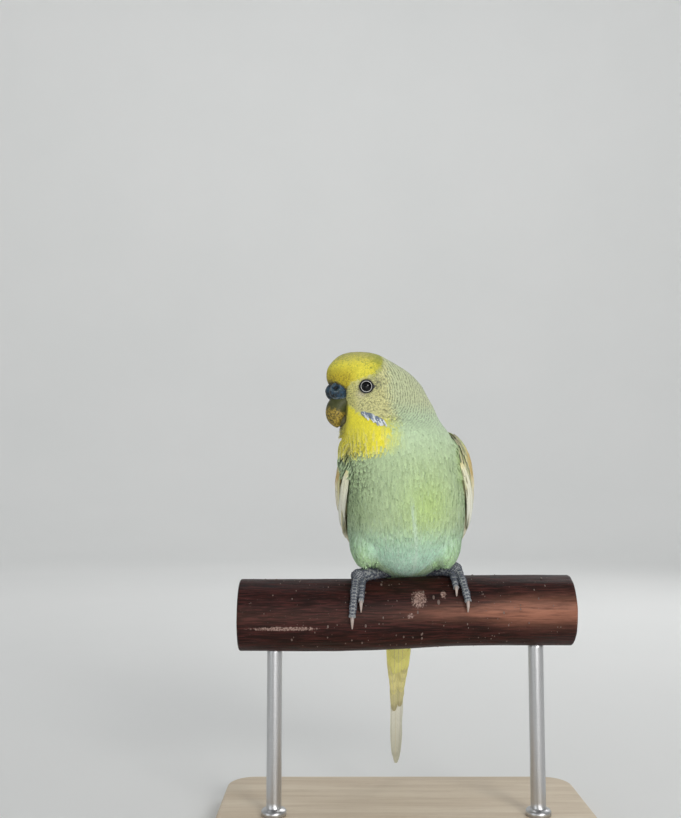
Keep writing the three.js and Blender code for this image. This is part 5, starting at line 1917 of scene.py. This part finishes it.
CLAW = {"base": 0.78, "tip": 0.20, "arch": 0.95, "gap": -1.0}
# Rows of plates along a toe: an angle off its back, a spacing, a size and a shift along the row
TOE_BACK = [(0.0, 1.30, 1.0, 0.0)]
TOE_SIDES = [(side * turn, 1.05, 0.66, shift) for side in (1, -1)
             for turn, shift in ((0.98, 0.5), (1.62, 0.0), (2.25, 0.5))]
GOLDEN_ANGLE = math.pi * (3 - math.sqrt(5))


def frame_of(path, up):
    """The ways ahead, across and above at each station of a path."""
    ahead = unit(np.gradient(path, axis=0))
    across = unit(np.cross(ahead, up))
    return ahead, across, np.cross(across, ahead)


def tube_rings(path, radius, up, sides):
    """Rings of places round a path, from its stations, their radii and the ways up at them."""
    _, across, above = frame_of(path, up)
    turn = full_turn(sides)
    around = np.sin(turn)[None, :, None] * above[:, None] - np.cos(turn)[None, :, None] * across[:, None]
    return path[:, None] + around * np.broadcast_to(radius, (sides, len(path))).T[..., None]


def toe_path(foot, toe, s):
    radius = toe["radius"] * (1.06 - 0.2 * s) * (1 + 0.07 * np.cos(2 * math.pi * TOE_JOINTS * s))
    angle = foot["grip"] + mix(toe["root"], toe["end"], s)
    x = foot["x"] + mix(toe["root_x"], toe["tip_x"], s)
    return on_perch(x, angle, GAP + radius), radius, perch_out(angle)


def foot_finish():
    tone = blend(noise(900, 3, roughness=0.6), (0.036, 0.042, 0.060), (0.115, 0.130, 0.168))
    crust = band(noise(2400, 3, roughness=0.7), 0.56, 0.68)
    tone = blend(times(crust, 0.35), tone, (0.50, 0.50, 0.50))
    return shader_inputs(tone, 0.55, bump(noise(3800, 3), 0.05, 0.6))


def seam_finish():
    cloud = noise(2200, 3, roughness=0.7)
    tone = blend(band(cloud, 0.30, 0.55), (0.12, 0.13, 0.14), (0.34, 0.35, 0.36))
    return shader_inputs(tone, 0.75, bump(cloud, 0.08, 0.8))


def claw_finish():
    tone = blend(stored("place")[0], (0.42, 0.34, 0.31), (0.70, 0.58, 0.52))
    tone = blend(times(noise(800, 3), 0.5), tone, (0.30, 0.24, 0.22))
    return shader_inputs(tone, 0.35, bump(grain((2600, 2600, 500)), 0.04, 0.6),
                         subsurface_weight=0.15, subsurface_radius=(0.0012, 0.0006, 0.0004))


FOOT_SKIN = material("foot_scutes", foot_finish)
FOOT_SEAMS = material("foot_seams", seam_finish)
CLAW_HORN = material("claw_horn", claw_finish)


def joined(parts):
    """The columns of several sets of arrays, each made one."""
    return [np.concatenate(columns) for columns in zip(*parts)]


def on_limb(path, radius, up, at, cosine, sine):
    """Plates' places on a limb, at stations along it, turned off its back: place, ahead and out."""
    ahead, across, above = frame_of(path, up)
    stations = np.arange(len(path))
    path, ahead, across, above = (rows_at(at, stations, rows) for rows in (path, ahead, across, above))
    out = unit(above * cosine + across * sine)
    return path + out * (np.interp(at, stations, radius) - 0.06)[:, None], ahead, out


def scute_rows(path, radius, up, rows):
    """Plates along a toe, in rows that each have an angle off its back."""
    length = lengths_along(path)
    found = []
    for turned, spacing, size, shift in rows:
        spots = np.arange(0.5 + shift, length[-1] / spacing) * spacing
        at = np.interp(spots, length, np.arange(len(path)))
        reach = np.interp(at, np.arange(len(path)), radius)
        places = on_limb(path, radius, up, at, math.cos(turned), math.sin(turned))
        found.append((*places, size * reach / reach.max()))
    return joined(found)


def cuff_scutes(path, radius, up):
    """A ring of pale scales that flare round the root of a claw."""
    ahead, across, above = (axis[-1] for axis in frame_of(path, up))
    turn = np.linspace(-2.2, 2.2, 7)[:, None]
    out = np.cos(turn) * above + np.sin(turn) * across
    flare = unit(ahead + 0.25 * out)
    places = path[-1] + out * (radius[-1] - 0.10) + ahead * 0.15
    return places, flare, unit(out - 0.25 * ahead), np.full(7, 1.0)


def shank_scutes(path, radius, up):
    """Small rounded plates round the shank, each turned on from the last by the golden angle."""
    count, seed = 150, 150
    rng = np.random.default_rng(seed)
    at = np.linspace(0, len(path) - 1, count) + rng.normal(0, 0.25, count)
    turn = (np.arange(count) * GOLDEN_ANGLE + rng.normal(0, 0.16, count))[:, None]
    return *on_limb(path, radius, up, at, np.cos(turn), np.sin(turn)), np.full(count, 0.74)


def ball_scutes(ball):
    """Small rounded plates all over the ball of the foot, spread by the golden angle."""
    count = 110
    k = np.arange(count)
    rise = 1 - 2 * (k + 0.5) / count
    turn = k * GOLDEN_ANGLE
    flat = np.sqrt(1 - rise ** 2)
    out = np.stack([flat * np.cos(turn), flat * np.sin(turn), rise], -1)
    ahead = unit(np.cross(out, np.array([1.0, 0.2, 0.0])))
    return ball + out * (TARSUS["ball"] - 0.10), ahead, out, np.full(count, 0.48)


def foot_limbs(foot):
    """Each toe, and then the shank, as a path, radii and ways up, and the ball of the foot."""
    limbs = [toe_path(foot, toe, np.linspace(0, 1, 41)) for toe in foot["toes"]]
    ball = on_perch(foot["x"], foot["grip"], GAP + TARSUS["ball"])
    s = np.linspace(0, 1, 31)
    path = np.array(foot["ankle"]) + (ball - np.array(foot["ankle"])) * s[:, None]
    radius = TARSUS["radius"] * (1 + 0.10 * smooth(0.5, 1.0, s) + 0.04 * np.cos(9 * s))
    limbs.append((path, radius, np.tile(UPWARDS, (len(s), 1))))
    return limbs, ball


def make_foot(side_name):
    """Smooth limbs in pale skin, and over them the dark scutes of the toes and the shank."""
    limbs, ball = foot_limbs(FEET[side_name])
    shells = [tube_rings(path, radius - 0.05, up, 24) for path, radius, up in limbs]
    shells.append(ellipsoid_rings(ball, [TARSUS["ball"] - 0.1] * 3))
    nodes = [f"toe_{side_name}_{k}" for k in (1, 2, 3, 4)] + ["shank_" + side_name]
    skin = remeshed(f"foot_{side_name}_skin", closed_tubes("foot", *shells), 0.2, 4, FOOT_SEAMS)
    hand_over(skin, nodes)
    toes, shank = limbs[:-1], limbs[-1]
    cuffs = [cuff_scutes(*toe) for toe in toes]
    backs = [scute_rows(*toe, TOE_BACK) for toe in toes]
    sides = [scute_rows(*toe, TOE_SIDES) for toe in toes] + [ball_scutes(ball), shank_scutes(*shank)]
    for name, parts, finish, seed, length, width, height, uneven in (
            ("cuffs", cuffs, FOOT_SEAMS, 9, 0.75, 0.42, 0.26, 0.2),
            ("scutes_backs", backs, FOOT_SKIN, 5, 0.58, 0.84, 0.34, 0.16),
            ("scutes_sides", sides, FOOT_SKIN, 6, 0.72, 0.72, 0.5, 0.16)):
        plates = set_plates(f"foot_{side_name}_{name}", *joined(parts), finish, seed, Length=length,
                            Width=width, Height=height, Unevenness=uneven)
        hand_over(plates, nodes)


def make_claw(side_name, index, foot, toe):
    """A claw that arches off the branch from the end of its toe down to its point."""
    s, sides = np.linspace(0, 1, 26), 20
    start = toe["end"] + math.copysign(CLAW["gap"], toe["end"])
    angle = foot["grip"] + mix(start, toe["claw"], s)
    radius = mix(CLAW["base"], CLAW["tip"], s ** 1.3)
    height = GAP + radius + CLAW["arch"] * np.sin(math.pi * np.minimum(1, s * 0.9 + 0.1))
    path = on_perch(foot["x"] + toe["tip_x"], angle, height)
    sharp = radius * np.where(s > 0.97, 0.4, 1.0)
    rings = tube_rings(path, sharp, perch_out(angle), sides)
    mesh = closed_tubes(f"claw_{side_name}_{index}_horn", rings)
    paint(mesh, "place", np.append(np.repeat(s, sides), [0, 1]))
    finished(mesh, CLAW_HORN, [f"claw_{side_name}_{index}"])


# Stand

BASE = {"length": 150.0, "width": 104.0, "thick": 8.0, "corner": 12.0, "round": 1.6}
ROD = {"radius": 3.0, "apart": 104.0, "collar": 5.0, "collar_high": 2.4}


def wood_finish():
    figure = grain((14, 190, 60), 5, roughness=0.6, distortion=0.4)
    pores = band(grain((160, 3200, 3200), roughness=0.7), 0.58, 0.70)
    tone = blend(band(figure, 0.3, 0.7), (0.62, 0.50, 0.36), (0.74, 0.63, 0.48))
    tone = blend(times(pores, 0.4), tone, (0.40, 0.29, 0.18))
    return shader_inputs(tone, 0.5, bump(times_plus(pores, -0.8, figure), 0.06, 0.6))


def steel_finish():
    rings = grain((500, 500, 9000), roughness=0.6)
    tone = blend(rings, (0.50, 0.50, 0.51), (0.66, 0.66, 0.67))
    return shader_inputs(tone, 0.34, bump(rings, 0.02, 0.5), metallic=1.0)


STAND_WOOD = material("stand_wood", wood_finish)
STAND_STEEL = material("rod_steel", steel_finish)


def base_outline(inset, segments=12):
    """The plate's outline, anticlockwise from above, drawn in by the inset."""
    points = []
    reach = BASE["corner"] - inset
    for quarter, (way_x, way_y) in enumerate([(1, -1), (1, 1), (-1, 1), (-1, -1)]):
        x = way_x * (BASE["length"] / 2 - BASE["corner"])
        y = way_y * (BASE["width"] / 2 - BASE["corner"])
        for a in np.linspace(0, math.pi / 2, segments) + (quarter - 1) * math.pi / 2:
            points.append((x + reach * math.cos(a), y + reach * math.sin(a)))
    return points


def make_base():
    """A plate with rounded corners and rounded edges."""
    edge = BASE["round"]
    rings = [(edge * (1 - math.cos(a)), edge * (1 - math.sin(a))) for a in np.linspace(math.pi / 2, 0, 6)]
    levels = rings + [(inset, BASE["thick"] - low) for inset, low in rings[::-1]]
    loops = [[(x, y, low - PERCH_HEIGHT) for x, y in base_outline(inset)] for inset, low in levels]
    finished(closed_tubes("stand_plate", np.array(loops)), STAND_WOOD, ["stand_base"])


def make_rod(side_name):
    """A rod from its collar on the plate up into the branch."""
    x, floor = SIDES[side_name] * ROD["apart"] / 2, BASE["thick"] - PERCH_HEIGHT
    thin, wide, high = ROD["radius"], ROD["collar"], ROD["collar_high"]
    top = -PERCH["radius"] + 2.0 + float(perch_rise(x))
    profile = [(wide - 0.3, 0), (wide, 0.3), (wide, high - 0.7), (wide - 0.5, high),
               (thin + 0.4, high + 0.2), (thin, high + 0.7)]
    profile += [(thin, z) for z in np.linspace(high + 3, top - floor, 24)]
    loops = [[(x + r * math.cos(a), r * math.sin(a), floor + z) for a in full_turn(48)]
             for r, z in profile]
    rod = closed_tubes(f"stand_rod_{side_name}_steel", np.array(loops))
    finished(rod, STAND_STEEL, ["stand_rod_" + side_name])


# Stage: a round floor that curves up into a wall, in metres

FLOOR = {"radius": 1.6, "curve": 0.8, "wall": 2.6}


def floor_finish():
    shade = blend(noise(3.0, 4), (0.82, 0.83, 0.82), (0.88, 0.88, 0.87))
    return shader_inputs(shade, 0.65, None, 0.3)


def make_floor():
    flat, curve, sides = FLOOR["radius"], FLOOR["curve"], 96
    profile = [(1.2, 0.0), (flat - 0.02, 0.0), (flat, 0.0)]
    for a in np.radians(np.linspace(7.5, 90, 12)).tolist():
        profile.append((flat + curve * math.sin(a), curve - curve * math.cos(a)))
    profile.append((flat + curve, FLOOR["wall"]))
    points = [(radius * math.cos(a), radius * math.sin(a), height)
              for radius, height in profile for a in full_turn(sides)]
    faces = [tuple(range(sides))] + [tuple(quad[::-1]) for quad in loft_faces(len(profile), sides)]
    mesh = bpy.data.meshes.new("studio_floor")
    mesh.from_pydata(points, [], faces)
    new_piece(mesh, material("pale_floor", floor_finish))


def area_light(name, at, aim, size, power, tone=(1.0, 1.0, 1.0)):
    lamp = bpy.data.lights.new(name, "AREA")
    lamp.shape = "DISK"
    lamp.size = size
    lamp.energy = power
    lamp.color = tone
    holder = bpy.data.objects.new(name, lamp)
    bpy.context.scene.collection.objects.link(holder)
    holder.location = at
    holder.rotation_euler = (Vector(aim) - Vector(at)).to_track_quat("-Z", "Y").to_euler()


def make_light():
    middle = (0.0, 0.0, 0.13)
    area_light("key", (0.50, -0.98, 0.50), middle, 0.4, 5.6, (1.0, 0.985, 0.96))
    area_light("fill", (-0.95, -0.75, 0.30), middle, 0.8, 1.9, (0.95, 0.98, 1.0))
    area_light("low", (0.10, -0.90, 0.04), middle, 0.5, 1.8)
    area_light("rim", (0.55, 0.75, 0.75), middle, 0.5, 2.0)
    area_light("backdrop", (0.0, 0.6, 1.7), (0.0, 2.3, 0.7), 1.4, 13.5)
    world = bpy.data.worlds.new("studio")
    bpy.context.scene.world = world
    world.use_nodes = True
    world.node_tree.nodes["Background"].inputs["Color"].default_value = (0.93, 0.96, 1.0, 1.0)
    world.node_tree.nodes["Background"].inputs["Strength"].default_value = 0.27


def make_camera():
    """A camera at the photograph's place: its lens follows from the focal length in pixels."""
    data = bpy.data.cameras.new("camera")
    data.sensor_width = SENSOR
    data.lens = CAMERA["focal_px"] * SENSOR / CAMERA["frame_px"]
    data.clip_start, data.clip_end = 0.01, 20.0
    camera = bpy.data.objects.new("camera", data)
    bpy.context.scene.collection.objects.link(camera)
    camera.location = [v * MM for v in CAMERA["at"]]
    camera.rotation_euler = (math.radians(90 + CAMERA["tilt"]), 0, 0)
    bpy.context.scene.camera = camera
    bpy.context.scene.view_settings.view_transform = "Standard"


make_camera()
make_floor()
make_light()
make_coat(make_skin())
for side_name in SIDES:
    make_wing(side_name)
make_tail()
for side_name in SIDES:
    make_eye(side_name)
    make_foot(side_name)
    for index, toe in enumerate(FEET[side_name]["toes"], 1):
        make_claw(side_name, index, FEET[side_name], toe)
make_cere()
make_beak()
make_branch()
make_specks()
make_base()
for side_name in SIDES:
    make_rod(side_name)
